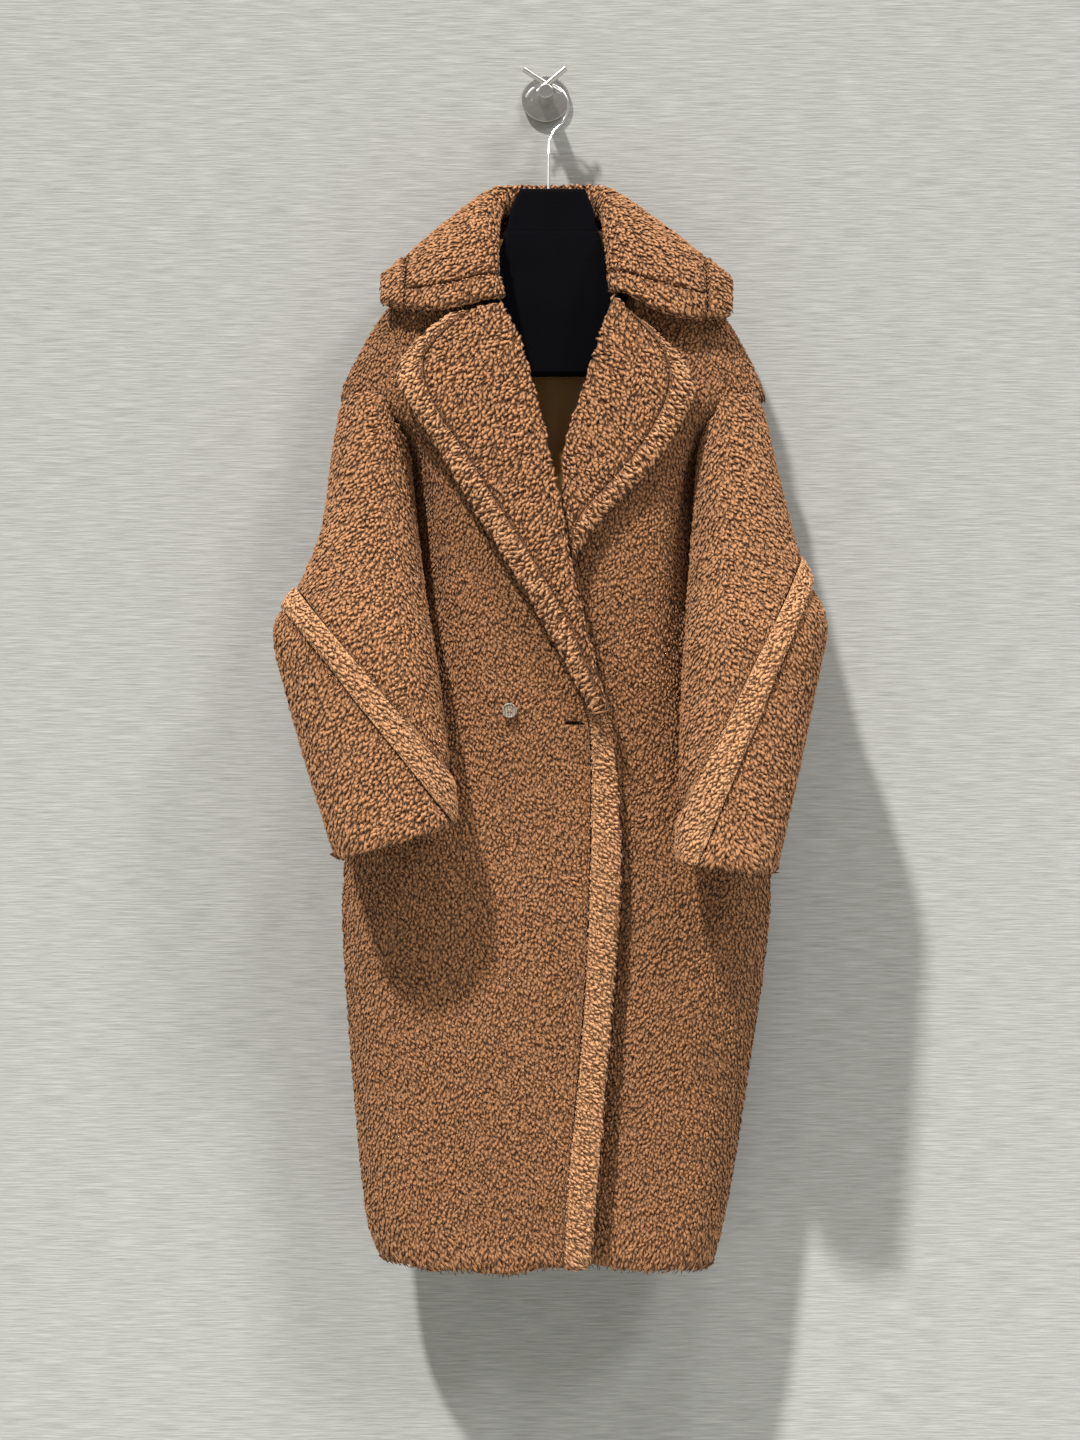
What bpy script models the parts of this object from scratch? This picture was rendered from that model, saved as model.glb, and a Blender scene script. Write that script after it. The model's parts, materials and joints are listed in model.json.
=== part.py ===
"""A long coat of curly pile cloth on a flocked hanger, hung on a round wall hook.

Metres, +Z up, the wall at y = 0 and everything in front of it at negative y.
The origin is the middle of the wall plate's back face.
Right and left are the wearer's, so the right-hand pieces lie at negative x.
"""

import functools
import math

import bmesh
import bpy
import numpy as np
from mathutils import Vector

# Gaps between pieces at their seams. Those at the armholes and along the band leave room for flat faces.
SEAM_GAP = 0.0003
ARMHOLE_GAP = 0.0026
BAND_GAP = 0.0007
SIDE_GAP = 0.0004
# How thick each cloth is, its pile included.
CLOTH = 0.010
LAPEL_CLOTH = 0.013
COLLAR_CLOTH = 0.009
LINING_CLOTH = 0.0015
# The power of each outline's curve: 2 is an ellipse, and more is squarer.
BODY_ROUNDNESS = 2.6
SLEEVE_ROUNDNESS = 2.2
# The tightest bend of the thick cloth.
CLOTH_BEND = 0.015
HEM_HEIGHT = -1.212
NECK_HEIGHT = -0.142
ARMHOLE_HEIGHT = -0.345
SHOULDER_SEAM = -0.320

# The body's outline at each height, from the neck opening down to the hem.
BODY_COLUMNS = "height left right front back"
BODY_ROWS = (
    (-0.142, -0.083, 0.094, -0.100, -0.018),
    (-0.163, -0.107, 0.117, -0.106, -0.018),
    (-0.187, -0.131, 0.142, -0.112, -0.017),
    (-0.213, -0.156, 0.170, -0.118, -0.016),
    (-0.243, -0.179, 0.194, -0.124, -0.014),
    (-0.280, -0.199, 0.214, -0.130, -0.012),
    (-0.308, -0.213, 0.227, -0.133, -0.012),
    (-0.323, -0.215, 0.230, -0.134, -0.012),
    (-0.338, -0.194, 0.208, -0.136, -0.012),
    (-0.358, -0.166, 0.180, -0.138, -0.012),
    (-0.400, -0.156, 0.170, -0.142, -0.012),
    (-0.470, -0.158, 0.172, -0.147, -0.012),
    (-0.540, -0.166, 0.183, -0.150, -0.012),
    (-0.610, -0.182, 0.200, -0.152, -0.012),
    (-0.690, -0.201, 0.222, -0.153, -0.012),
    (-0.790, -0.214, 0.238, -0.154, -0.013),
    (-0.900, -0.211, 0.229, -0.155, -0.014),
    (-1.020, -0.202, 0.211, -0.155, -0.015),
    (-1.120, -0.193, 0.196, -0.154, -0.016),
    (-1.178, -0.187, 0.185, -0.152, -0.018),
    (HEM_HEIGHT, -0.171, 0.173, -0.149, -0.022),
)

# Soft folds of the body, front or back: where each one starts and ends, and how far it stands out (or in).
FOLD_COLUMNS = "top_x top_height low_x low_height depth width"
FRONT_FOLDS = (
    (0.128, -0.86, 0.146, -1.22, 0.008, 0.016),
    (0.098, -0.80, 0.108, -1.22, -0.008, 0.018),
    (0.062, -0.92, 0.070, -1.22, 0.004, 0.016),
    (-0.100, -0.84, -0.092, -1.22, -0.006, 0.022),
    (-0.142, -0.80, -0.138, -1.22, 0.005, 0.018),
    (-0.030, -0.95, -0.036, -1.22, 0.004, 0.026),
)
BACK_FOLDS = (
    (-0.010, -0.42, -0.004, -1.22, -0.007, 0.020),
    (0.085, -0.60, 0.098, -1.22, -0.008, 0.024),
    (-0.082, -0.56, -0.102, -1.22, -0.007, 0.022),
    (0.150, -0.78, 0.140, -1.22, -0.006, 0.018),
    (-0.140, -0.82, -0.136, -1.22, -0.006, 0.018),
)

# The edge of each front: rolled back in the neck, then straight down the closing.
EDGE_COLUMNS = "height x"
RIGHT_FRONT_EDGE = (
    (-0.142, -0.076), (-0.180, -0.078), (-0.225, -0.066), (-0.257, -0.046), (-0.358, -0.0172),
    (-0.430, -0.002), (-0.490, 0.0082), (-0.551, 0.0234), (-0.612, 0.0386), (-0.645, 0.0440),
    (-0.733, 0.0462),
    (-0.834, 0.0442), (-0.935, 0.0392), (-1.036, 0.0311), (-1.137, 0.0210), (-1.216, 0.0190),
)
LEFT_FRONT_EDGE = (
    (-0.142, 0.087), (-0.180, 0.092), (-0.214, 0.086), (-0.297, 0.0604), (-0.368, 0.0355), (-0.409, 0.030),
    (-0.470, 0.014), (-0.540, -0.020), (-0.610, -0.055), (-0.700, -0.058), (-1.216, -0.060),
)
BAND_EDGE = (
    (-0.640, 0.0650), (-0.653, 0.0668), (-0.733, 0.0745), (-0.814, 0.0765), (-0.895, 0.0715),
    (-1.016, 0.0614), (-1.137, 0.0513), (-1.216, 0.0442),
)
BAND_TOP = -0.648
BAND_LIFT = 0.002
BAND_ROUND = 0.004
# The left front lies this far in under the right one, and comes back out beyond the closing edge.
LAP_INSET = 0.0145
LAP_START = 0.004
LAP_BLEND = 0.050

# Each lapel from its top to its tip: the roll line, the outer edge, and how far each stands off the front.
LAPEL_COLUMNS = "roll_x roll_z edge_x edge_z roll_lift edge_lift"
RIGHT_LAPEL = (
    (-0.0440, -0.2285, -0.1040, -0.2400, 0.020, 0.019),
    (-0.0400, -0.2380, -0.1330, -0.2670, 0.021, 0.021),
    (-0.0330, -0.2500, -0.1510, -0.2920, 0.022, 0.022),
    (-0.0200, -0.2850, -0.1500, -0.3150, 0.024, 0.023),
    (-0.0012, -0.3580, -0.1380, -0.3350, 0.028, 0.024),
    (0.0060, -0.3950, -0.1080, -0.3790, 0.030, 0.024),
    (0.0140, -0.4293, -0.0800, -0.4293, 0.031, 0.024),
    (0.0242, -0.4902, -0.0410, -0.4902, 0.031, 0.024),
    (0.0394, -0.5511, -0.0050, -0.5511, 0.029, 0.022),
    (0.0546, -0.6120, 0.0280, -0.6120, 0.024, 0.019),
    (0.0668, -0.6440, 0.0460, -0.6460, 0.019, 0.017),
)
LEFT_LAPEL = (
    (0.0680, -0.2210, 0.1033, -0.2500, 0.018, 0.017),
    (0.0640, -0.2320, 0.1297, -0.2730, 0.018, 0.018),
    (0.0580, -0.2500, 0.1480, -0.2980, 0.018, 0.018),
    (0.0444, -0.2974, 0.1520, -0.3190, 0.017, 0.018),
    (0.0300, -0.3400, 0.1450, -0.3370, 0.0155, 0.017),
    (0.0191, -0.3684, 0.1250, -0.3750, 0.0145, 0.016),
    (0.0160, -0.4090, 0.0952, -0.4091, 0.0145, 0.016),
    (0.0160, -0.4400, 0.0650, -0.4400, 0.0145, 0.015),
    (0.0190, -0.4680, 0.0420, -0.4680, 0.0145, 0.0145),
    (0.0240, -0.4900, 0.0300, -0.4900, 0.0145, 0.0145),
)
LAPEL_BORDER = 0.027
LEAST_LEAF_SHARE = 0.35
LAPEL_SEAM_SHARE = 0.003
BORDER_LIFT = 0.002
LAPEL_ROUND = 0.006

# The collar from its right end, round the back of the neck, to its left end: the inner roll line,
# the point that pulls its fall outwards, and its outer edge.
COLLAR_COLUMNS = "along roll_x roll_y roll_z pull_x pull_y pull_z edge_x edge_y edge_z"
COLLAR_ROWS = (
    (-1.00, -0.0420, -0.126, -0.2220, -0.108, -0.154, -0.2440, -0.1700, -0.112, -0.2270),
    (-0.82, -0.0460, -0.118, -0.1950, -0.108, -0.146, -0.2100, -0.1710, -0.104, -0.2110),
    (-0.62, -0.0465, -0.096, -0.1550, -0.106, -0.120, -0.1580, -0.1700, -0.086, -0.1960),
    (-0.44, -0.0450, -0.068, -0.1240, -0.108, -0.072, -0.1280, -0.1690, -0.058, -0.1960),
    (-0.30, -0.0400, -0.046, -0.1080, -0.112, -0.036, -0.1250, -0.1660, -0.026, -0.2060),
    (-0.15, -0.0240, -0.035, -0.1020, -0.070, -0.004, -0.1060, -0.1100, -0.0045, -0.2200),
    (0.00, 0.0040, -0.033, -0.1010, 0.004, -0.003, -0.0900, 0.0040, -0.0045, -0.2240),
    (0.15, 0.0320, -0.035, -0.1020, 0.078, -0.004, -0.1060, 0.1200, -0.0045, -0.2200),
    (0.30, 0.0500, -0.046, -0.1080, 0.124, -0.036, -0.1240, 0.1840, -0.026, -0.2080),
    (0.44, 0.0560, -0.068, -0.1240, 0.124, -0.072, -0.1270, 0.1890, -0.058, -0.1970),
    (0.62, 0.0590, -0.096, -0.1550, 0.124, -0.120, -0.1580, 0.1920, -0.086, -0.1980),
    (0.82, 0.0620, -0.118, -0.1930, 0.130, -0.146, -0.2100, 0.1930, -0.104, -0.2190),
    (1.00, 0.0660, -0.126, -0.2160, 0.128, -0.154, -0.2540, 0.1900, -0.112, -0.2400),
)
# The stand's depth under the roll, and how far out and up the crest lies from the roll line.
COLLAR_STAND = 0.024
COLLAR_STAND_OUT = 0.004
COLLAR_CREST_OUT = 0.0125
COLLAR_CREST_UP = 0.0105
COLLAR_FALL_SHARES = (0.3, 0.6, 0.82, 1.0)
COLLAR_BORDER = 0.18

# Each sleeve from the armhole to the cuff: its outer and inner outlines, and its depth from front to back.
SLEEVE_COLUMNS = "out_x out_z in_x in_z middle_y half_depth"
RIGHT_SLEEVE = (
    (-0.2020, -0.2900, -0.1480, -0.2980, -0.074, 0.046),
    (-0.2120, -0.3200, -0.1440, -0.3280, -0.076, 0.051),
    (-0.2225, -0.3772, -0.1370, -0.3823, -0.086, 0.058),
    (-0.2305, -0.4506, -0.1285, -0.4637, -0.106, 0.062),
    (-0.2487, -0.5062, -0.1194, -0.5274, -0.128, 0.064),
    (-0.2810, -0.5567, -0.1134, -0.5617, -0.147, 0.066),
    (-0.2743, -0.5926, -0.1063, -0.5976, -0.157, 0.062),
    (-0.2583, -0.6526, -0.0993, -0.6576, -0.172, 0.056),
    (-0.2363, -0.7226, -0.0923, -0.7076, -0.187, 0.050),
    (-0.2133, -0.7926, -0.0893, -0.7566, -0.200, 0.046),
)
LEFT_SLEEVE = (
    (0.2130, -0.2900, 0.1620, -0.2980, -0.074, 0.046),
    (0.2242, -0.3240, 0.1589, -0.3280, -0.076, 0.051),
    (0.2365, -0.3772, 0.1538, -0.3790, -0.086, 0.058),
    (0.2513, -0.4456, 0.1472, -0.4607, -0.106, 0.062),
    (0.2684, -0.5062, 0.1412, -0.5314, -0.128, 0.064),
    (0.2896, -0.5496, 0.1381, -0.5718, -0.147, 0.066),
    (0.2827, -0.5876, 0.1347, -0.6126, -0.157, 0.062),
    (0.2687, -0.6526, 0.1327, -0.6726, -0.172, 0.056),
    (0.2517, -0.7276, 0.1307, -0.7376, -0.187, 0.050),
    (0.2327, -0.8056, 0.1307, -0.7946, -0.202, 0.046),
)
# The slanting band sewn into each sleeve: where its upper and lower seams meet the sleeve's two outlines.
BAND_COLUMNS = "start_x start_z end_x end_z"
RIGHT_SLEEVE_BAND = ((-0.247, -0.527, -0.1045, -0.6945), (-0.2712, -0.5362, -0.0923, -0.7517))
LEFT_SLEEVE_BAND = ((0.2543, -0.504, 0.1317, -0.7490), (0.2704, -0.520, 0.1500, -0.7936))
SLEEVE_BAND_LIFT = 0.004
# How far the body stays clear of a sleeve, and over what height it gives way at the armhole and the cuff.
SLEEVE_CLEARANCE = 0.008
PRESS_TOP = 0.030
PRESS_LOW = 0.060

BUTTON_PLACE = (-0.037, -0.6435)
BUTTON_RADIUS = 0.0078
BUTTON_THICKNESS = 0.0032
BUTTON_ROUND = 0.0006
BUTTON_STAND_OFF = 0.0006
BUTTON_HOLE_RADIUS = 0.0009
BUTTON_HOLE_SPACING = 0.0017
BUTTONHOLE_PLACE = (0.030, -0.150, -0.6560)
BUTTONHOLE_SIZE = (0.022, 0.080, 0.0036)

HANGER_OUTLINE = (
    (-0.0270, -0.1035), (0.0405, -0.1035), (0.0490, -0.124), (0.0520, -0.142), (0.0600, -0.168),
    (0.0900, -0.186), (0.1560, -0.236), (0.1600, -0.250), (0.1520, -0.264), (0.1050, -0.2966),
    (-0.0950, -0.2966), (-0.1400, -0.264), (-0.1480, -0.250), (-0.1440, -0.236), (-0.0780, -0.186),
    (-0.0480, -0.168), (-0.0395, -0.142), (-0.0360, -0.124),
)
HANGER_MIDDLE_Y = -0.0620
HANGER_HALF_DEPTH = 0.0120
HANGER_EDGE_ROUND = 0.004

WIRE_RADIUS = 0.0014
HOOK_CENTRE = (0.0005, -0.0129)
HOOK_RADIUS = 0.0228
HOOK_Y = -0.0395
HOOK_TAIL = (
    (0.0176, -0.0402, -0.0301), (0.0085, -0.0430, -0.0395), (0.0036, -0.0470, -0.0500),
    (0.0030, -0.0520, -0.0650), (0.0026, -0.0600, -0.1030),
)
PLATE_RADIUS = 0.025
PLATE_THICKNESS = 0.006
PLATE_ROUND = 0.0015
POST_RADIUS = 0.0075
POST_LENGTH = 0.058
POST_ROUND = 0.0008
PEG_RADIUS = 0.0031
PEG_BORE_REACH = 0.010
# Each peg's low end, high end and distance from the wall: low_x, low_z, high_x, high_z, y.
PEGS = {
    "hook_peg_right": (0.0155, -0.0005, -0.0229, 0.0244, -0.0455),
    "hook_peg_left": (-0.0084, -0.0005, 0.0207, 0.0244, -0.0523),
}

PILE_TAN = (0.434, 0.195, 0.085)
PILE_LIGHT = (0.500, 0.240, 0.110)
SATIN_BROWN = (0.200, 0.090, 0.030)
FLOCK_NAVY = (0.012, 0.013, 0.020)
SHELL_GREY = (0.560, 0.520, 0.460)
STEEL = (0.520, 0.510, 0.500)
CHROME = (0.750, 0.750, 0.760)

for old in list(bpy.data.objects):
    bpy.data.objects.remove(old, do_unlink=True)

coat = bpy.data.collections.new("faux_fur_coat")
cutters = bpy.data.collections.new("cutters")
for collection in (coat, cutters):
    bpy.context.scene.collection.children.link(collection)


def finish(name, colour, roughness, metallic=0.0):
    """A plain finish for one kind of material."""
    material = bpy.data.materials.new(name)
    material.use_nodes = True
    shader = material.node_tree.nodes["Principled BSDF"]
    shader.inputs["Base Color"].default_value = (*colour, 1.0)
    shader.inputs["Roughness"].default_value = roughness
    shader.inputs["Metallic"].default_value = metallic
    return material


FINISHES = {
    "pile": finish("curly_pile", PILE_TAN, 0.95),
    "light_pile": finish("light_curly_pile", PILE_LIGHT, 0.95),
    "satin": finish("satin_lining", SATIN_BROWN, 0.35),
    "flock": finish("flocked_form", FLOCK_NAVY, 0.9),
    "shell": finish("shell_button", SHELL_GREY, 0.4),
    "steel": finish("brushed_steel", STEEL, 0.35, 1.0),
    "chrome": finish("bright_wire", CHROME, 0.12, 1.0),
}


def add_object(name, bm, finish_name, home=coat):
    """A named object from a finished mesh."""
    mesh = bpy.data.meshes.new(name)
    bm.to_mesh(mesh)
    bm.free()
    mesh.materials.append(FINISHES[finish_name])
    mesh.shade_smooth()
    obj = bpy.data.objects.new(name, mesh)
    home.objects.link(obj)
    return obj


def table(columns, rows):
    """A table as one array for each named column."""
    return dict(zip(columns.split(), np.array(rows).T))


def smooth_at(knots, values, at):
    """A value on the smooth curve through the knots, which rise or fall."""
    if knots[0] > knots[-1]:
        knots = knots[::-1]
        values = values[::-1]
    at = min(max(at, knots[0]), knots[-1])
    slopes = np.gradient(values, knots)
    low = int(min(max(np.searchsorted(knots, at) - 1, 0), len(knots) - 2))
    span = knots[low + 1] - knots[low]
    t = (at - knots[low]) / span
    rise = t * t * (3 - 2 * t)
    curl_low = t * (1 - t) ** 2 * span * slopes[low]
    curl_high = t * t * (t - 1) * span * slopes[low + 1]
    return float(values[low] * (1 - rise) + values[low + 1] * rise + curl_low + curl_high)


def ease(t):
    """0 below 0, 1 above 1, and a soft rise between."""
    t = np.clip(t, 0.0, 1.0)
    return t * t * (3 - 2 * t)


BODY = table(BODY_COLUMNS, BODY_ROWS)
SLEEVES = {"right": table(SLEEVE_COLUMNS, RIGHT_SLEEVE), "left": table(SLEEVE_COLUMNS, LEFT_SLEEVE)}
RIGHT_EDGE = table(EDGE_COLUMNS, RIGHT_FRONT_EDGE)
LEFT_EDGE = table(EDGE_COLUMNS, LEFT_FRONT_EDGE)
CLOSING_EDGE = table(EDGE_COLUMNS, BAND_EDGE)


def body_size(height):
    """The middle and the half sizes of the body's outline at one height."""
    left, right, front, back = (
        smooth_at(BODY["height"], BODY[side], height) for side in ("left", "right", "front", "back")
    )
    return (left + right) / 2, (front + back) / 2, (right - left) / 2, (back - front) / 2


def fold_depth(folds, x, height):
    """How far the named soft folds move the cloth out at one place."""
    total = 0.0
    for top_x, top_height, low_x, low_height, depth, width in folds:
        along = (height - top_height) / (low_height - top_height)
        middle = top_x + (low_x - top_x) * along
        total = total + depth * ease(along * 2.0) * np.exp(-(((x - middle) / width) ** 2))
    return total


def press(x, y, height):
    """Cloth behind a sleeve gives way inwards and back, so that it lies just clear of the sleeve."""
    for side, rows in SLEEVES.items():
        out_x = np.interp(-height, -rows["out_z"], rows["out_x"])
        in_x = np.interp(-height, -rows["in_z"], rows["in_x"])
        mean_z = (rows["out_z"] + rows["in_z"]) / 2
        reach = SLEEVE_CLEARANCE + SLEEVE_BAND_LIFT
        half_width = abs(out_x - in_x) / 2 + reach
        half_depth = np.interp(-height, -mean_z, rows["half_depth"]) + reach
        across = (x - (out_x + in_x) / 2) / half_width
        deep = (y - np.interp(-height, -mean_z, rows["middle_y"])) / half_depth
        way_x = math.sqrt(0.5) if side == "right" else -math.sqrt(0.5)
        way_y = math.sqrt(0.5)
        step_x, step_y = way_x / half_width, way_y / half_depth
        toward = across * step_x + deep * step_y
        size = step_x**2 + step_y**2
        inside = toward**2 - size * (across**2 + deep**2 - 1)
        travel = np.where(inside > 0, (np.sqrt(np.maximum(inside, 0)) - toward) / size, 0)
        lowest = (rows["out_z"][-1] + rows["in_z"][-1]) / 2
        amount = ease((ARMHOLE_HEIGHT - height) / PRESS_TOP) * ease((height - lowest) / PRESS_LOW + 1)
        travel = np.maximum(travel, 0) * amount
        x, y = soften(x + way_x * travel, y + way_y * travel, amount)
    return x, y


def soften(x, y, amount):
    """Rounds the outline where a sleeve has pushed it in, as thick cloth does."""
    lengths = np.concatenate([[0.0], np.cumsum(np.hypot(np.diff(x), np.diff(y)))])
    even = np.linspace(0.0, lengths[-1], len(x))[:-1]
    reach = np.minimum(even, lengths[-1] - even)
    kernel = np.exp(-0.5 * (reach / CLOTH_BEND) ** 2)
    kernel = np.fft.rfft(kernel / kernel.sum())
    softened = []
    for values in (x, y):
        spread = np.fft.irfft(np.fft.rfft(np.interp(even, lengths, values)) * kernel, len(even))
        around = np.interp(lengths, np.append(even, lengths[-1]), np.append(spread, spread[0]))
        softened.append(values + (around - values) * amount)
    return softened


# Turn 0 is the wearer's left side seam, a quarter turn the middle of the back, three quarters the front.
TURN = np.linspace(0.0, 2 * math.pi, 721)
TURN_STEP = 0.12
HEIGHT_STEP = 0.004
FOLD_EDGE_POWER = 0.3


@functools.lru_cache(maxsize=None)
def section(height):
    """The body's outline at one height, from the left side seam round the back, then along the front."""
    middle_x, middle_y, half_width, half_depth = body_size(height)
    cosine, sine = np.cos(TURN), np.sin(TURN)
    power = 2.0 / BODY_ROUNDNESS
    x = middle_x + half_width * np.sign(cosine) * np.abs(cosine) ** power
    y = middle_y + half_depth * np.sign(sine) * np.abs(sine) ** power
    out_x, out_y = cosine / half_width, sine / half_depth
    length = np.hypot(out_x, out_y)
    depth = np.where(sine < 0, fold_depth(FRONT_FOLDS, x, height), fold_depth(BACK_FOLDS, x, height))
    depth = depth * np.abs(sine) ** FOLD_EDGE_POWER
    x, y = press(x + depth * out_x / length, y + depth * out_y / length, height)
    return x, y


def body_place(height, turn):
    x, y = section(round(float(height), 6))
    return Vector((np.interp(turn, TURN, x), np.interp(turn, TURN, y), height))


def body_point(height, turn, inset=0.0):
    """A point of the body's cloth, moved in from its outer face."""
    place = body_place(height, turn)
    if inset == 0.0:
        return place
    down = body_place(height - HEIGHT_STEP, turn) - body_place(height + HEIGHT_STEP, turn)
    ahead, behind = (turn + TURN_STEP) % (2 * math.pi), (turn - TURN_STEP) % (2 * math.pi)
    around = body_place(height, ahead) - body_place(height, behind)
    return place - around.cross(-down).normalized() * inset


def turn_at(height, x):
    """Where round the front of the body's outline a given x lies."""
    middle_x, _, half_width, _ = body_size(height)
    share = min(max((x - middle_x) / half_width, -1.0), 1.0)
    cosine = math.copysign(abs(share) ** (BODY_ROUNDNESS / 2.0), share)
    return 2 * math.pi - math.acos(cosine)


def even_turns(height, start, end, share):
    """The turn that lies a given share of the cloth's width from start to end."""
    x, y = section(round(float(height), 6))
    lengths = np.concatenate([[0.0], np.cumsum(np.hypot(np.diff(x), np.diff(y)))])
    first, last = np.interp(start, TURN, lengths), np.interp(end, TURN, lengths)
    return float(np.interp(first + (last - first) * share, lengths, TURN))


def grid_wall(columns, rows, outer, inner):
    """A cloth wall over a grid: outer and inner give its two faces for u and v from 0 to 1."""
    bm = bmesh.new()
    bmesh.ops.create_grid(bm, x_segments=columns, y_segments=rows, size=1.0)
    return thicken(bm, outer, inner)


def thicken(bm, outer, inner):
    inner_vertices = list(bm.verts)
    shares = [((v.co.x + 1) / 2, (v.co.y + 1) / 2) for v in inner_vertices]
    extruded = bmesh.ops.extrude_face_region(bm, geom=bm.faces[:])
    outer_vertices = [item for item in extruded["geom"] if isinstance(item, bmesh.types.BMVert)]
    for vertex in outer_vertices:
        vertex.co = outer((vertex.co.x + 1) / 2, (vertex.co.y + 1) / 2)
    for vertex, (u, v) in zip(inner_vertices, shares):
        vertex.co = inner(u, v)
    bmesh.ops.recalc_face_normals(bm, faces=bm.faces[:])
    return bm


def open_tube(segments, rings):
    """A tube laid out flat from -1 to 1, with x round it and y along it."""
    bm = bmesh.new()
    bmesh.ops.create_circle(bm, segments=segments, radius=1.0)
    edges = bm.edges[:]
    for index, vertex in enumerate(bm.verts):
        vertex.co = (2.0 * index / segments - 1, -1.0, 0.0)
    for ring in range(1, rings + 1):
        grown = bmesh.ops.extrude_edge_only(bm, edges=edges)["geom"]
        edges = [item for item in grown if isinstance(item, bmesh.types.BMEdge)]
        for vertex in {vertex for edge in edges for vertex in edge.verts}:
            vertex.co.y = 2.0 * ring / rings - 1
    return bm


def tube_wall(segments, rings, outer, inner):
    """A closed tube wall: outer and inner give its two faces for u round it and v along it."""
    return thicken(open_tube(segments, rings), outer, inner)


def keep_side(bm, point, normal):
    """Cuts a closed solid flat and keeps what lies behind the plane."""
    geometry = bm.verts[:] + bm.edges[:] + bm.faces[:]
    bmesh.ops.bisect_plane(bm, geom=geometry, plane_co=point, plane_no=normal, clear_outer=True)
    rim = [edge for edge in bm.edges if edge.is_boundary]
    bmesh.ops.triangle_fill(bm, use_beauty=True, edges=rim, normal=normal)
    bmesh.ops.recalc_face_normals(bm, faces=bm.faces[:])


def cut(obj, cutter):
    """Takes the cutter's solid out of the object."""
    modifier = obj.modifiers.new(cutter.name, "BOOLEAN")
    modifier.operation = "DIFFERENCE"
    modifier.solver = "EXACT"
    modifier.object = cutter


def as_cutter(name, bm):
    obj = add_object(name, bm, "pile", cutters)
    obj.hide_render = True
    obj.display_type = "WIRE"
    return obj


SMALLEST_EDGE = 0.00005


def keep_largest(obj):
    """Applies the cuts and drops the crumbs that they leave."""
    bpy.context.view_layer.update()
    graph = bpy.context.evaluated_depsgraph_get()
    bm = bmesh.new()
    bm.from_mesh(bpy.data.meshes.new_from_object(obj.evaluated_get(graph)))
    obj.modifiers.clear()
    islands = []
    waiting = set(bm.faces)
    while waiting:
        island = {waiting.pop()}
        frontier = list(island)
        while frontier:
            face = frontier.pop()
            for edge in face.edges:
                for other in edge.link_faces:
                    if other in waiting:
                        waiting.discard(other)
                        island.add(other)
                        frontier.append(other)
        islands.append(island)
    largest = max(islands, key=lambda faces: sum(face.calc_area() for face in faces))
    crumbs = [face for face in bm.faces if face not in largest]
    bmesh.ops.delete(bm, geom=crumbs, context="FACES")
    bmesh.ops.dissolve_degenerate(bm, dist=SMALLEST_EDGE, edges=bm.edges[:])
    bm.to_mesh(obj.data)
    bm.free()
    return obj


# ---- sleeves: an upper, a slanting band and a lower part, each open at both ends ----
SLEEVE_SEGMENTS = 18
SLEEVE_RINGS = 13


def sleeve_point(rows, around, along, grow):
    """A point of the sleeve's tube, moved out by grow."""
    count = len(rows["out_x"]) - 1
    knots = np.arange(count + 1) / count
    at = {name: smooth_at(knots, values, along) for name, values in rows.items()}
    middle = Vector(((at["out_x"] + at["in_x"]) / 2, at["middle_y"], (at["out_z"] + at["in_z"]) / 2))
    across = Vector((at["out_x"] - at["in_x"], 0.0, at["out_z"] - at["in_z"])) / 2
    half_width = across.length
    angle = around * 2 * math.pi
    power = 2.0 / SLEEVE_ROUNDNESS
    side = math.copysign(abs(math.cos(angle)) ** power, math.cos(angle))
    depth = math.copysign(abs(math.sin(angle)) ** power, math.sin(angle))
    return (
        middle
        + across.normalized() * side * (half_width + grow)
        + Vector((0.0, depth * (at["half_depth"] + grow), 0.0))
    )


def sleeve_tube(rows, outer_grow, inner_grow, first=0.0):
    return tube_wall(
        SLEEVE_SEGMENTS,
        SLEEVE_RINGS,
        lambda u, v: sleeve_point(rows, u, first + (1 - first) * v, outer_grow),
        lambda u, v: sleeve_point(rows, u, first + (1 - first) * v, inner_grow),
    )


def seam_plane(seam, side):
    """A point on a slanting seam, and its normal in the seam's plane, towards the cuff."""
    start_x, start_z, end_x, end_z = seam
    along = Vector((end_x - start_x, 0.0, end_z - start_z))
    normal = along.cross(Vector((0.0, 1.0, 0.0))).normalized()
    if normal.x * side < 0:
        normal = -normal
    return Vector((start_x, 0.0, start_z)), normal


def tube_solid(segments, rings, place):
    """A tube with its two ends closed, for a cutter."""
    bm = open_tube(segments, rings)
    for vertex in bm.verts:
        vertex.co = place((vertex.co.x + 1) / 2, (vertex.co.y + 1) / 2)
    bmesh.ops.holes_fill(bm, edges=[edge for edge in bm.edges if edge.is_boundary], sides=0)
    bmesh.ops.recalc_face_normals(bm, faces=bm.faces[:])
    return bm


# The panels' rows follow the body's own rows, with one more between each two where the rows are far apart.
MOST_ROW_STEP = 0.075
PANEL_HEIGHTS = [NECK_HEIGHT]
for height in BODY["height"][1:]:
    if PANEL_HEIGHTS[-1] - height > MOST_ROW_STEP:
        PANEL_HEIGHTS.append((PANEL_HEIGHTS[-1] + height) / 2)
    PANEL_HEIGHTS.append(float(height))
PANEL_ROWS = len(PANEL_HEIGHTS) - 1
BACK_COLUMNS = 12
FRONT_COLUMNS = 8


def side_gap(height):
    """Half a side seam's gap, as a turn about the body."""
    _, _, _, half_depth = body_size(height)
    return SIDE_GAP / half_depth


def back_turn(height, share):
    return even_turns(height, side_gap(height), math.pi - side_gap(height), share)


def right_turn(height, share):
    edge = turn_at(height, smooth_at(RIGHT_EDGE["height"], RIGHT_EDGE["x"], height) - SEAM_GAP / 2)
    return even_turns(height, math.pi + side_gap(height), edge, share)


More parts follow.
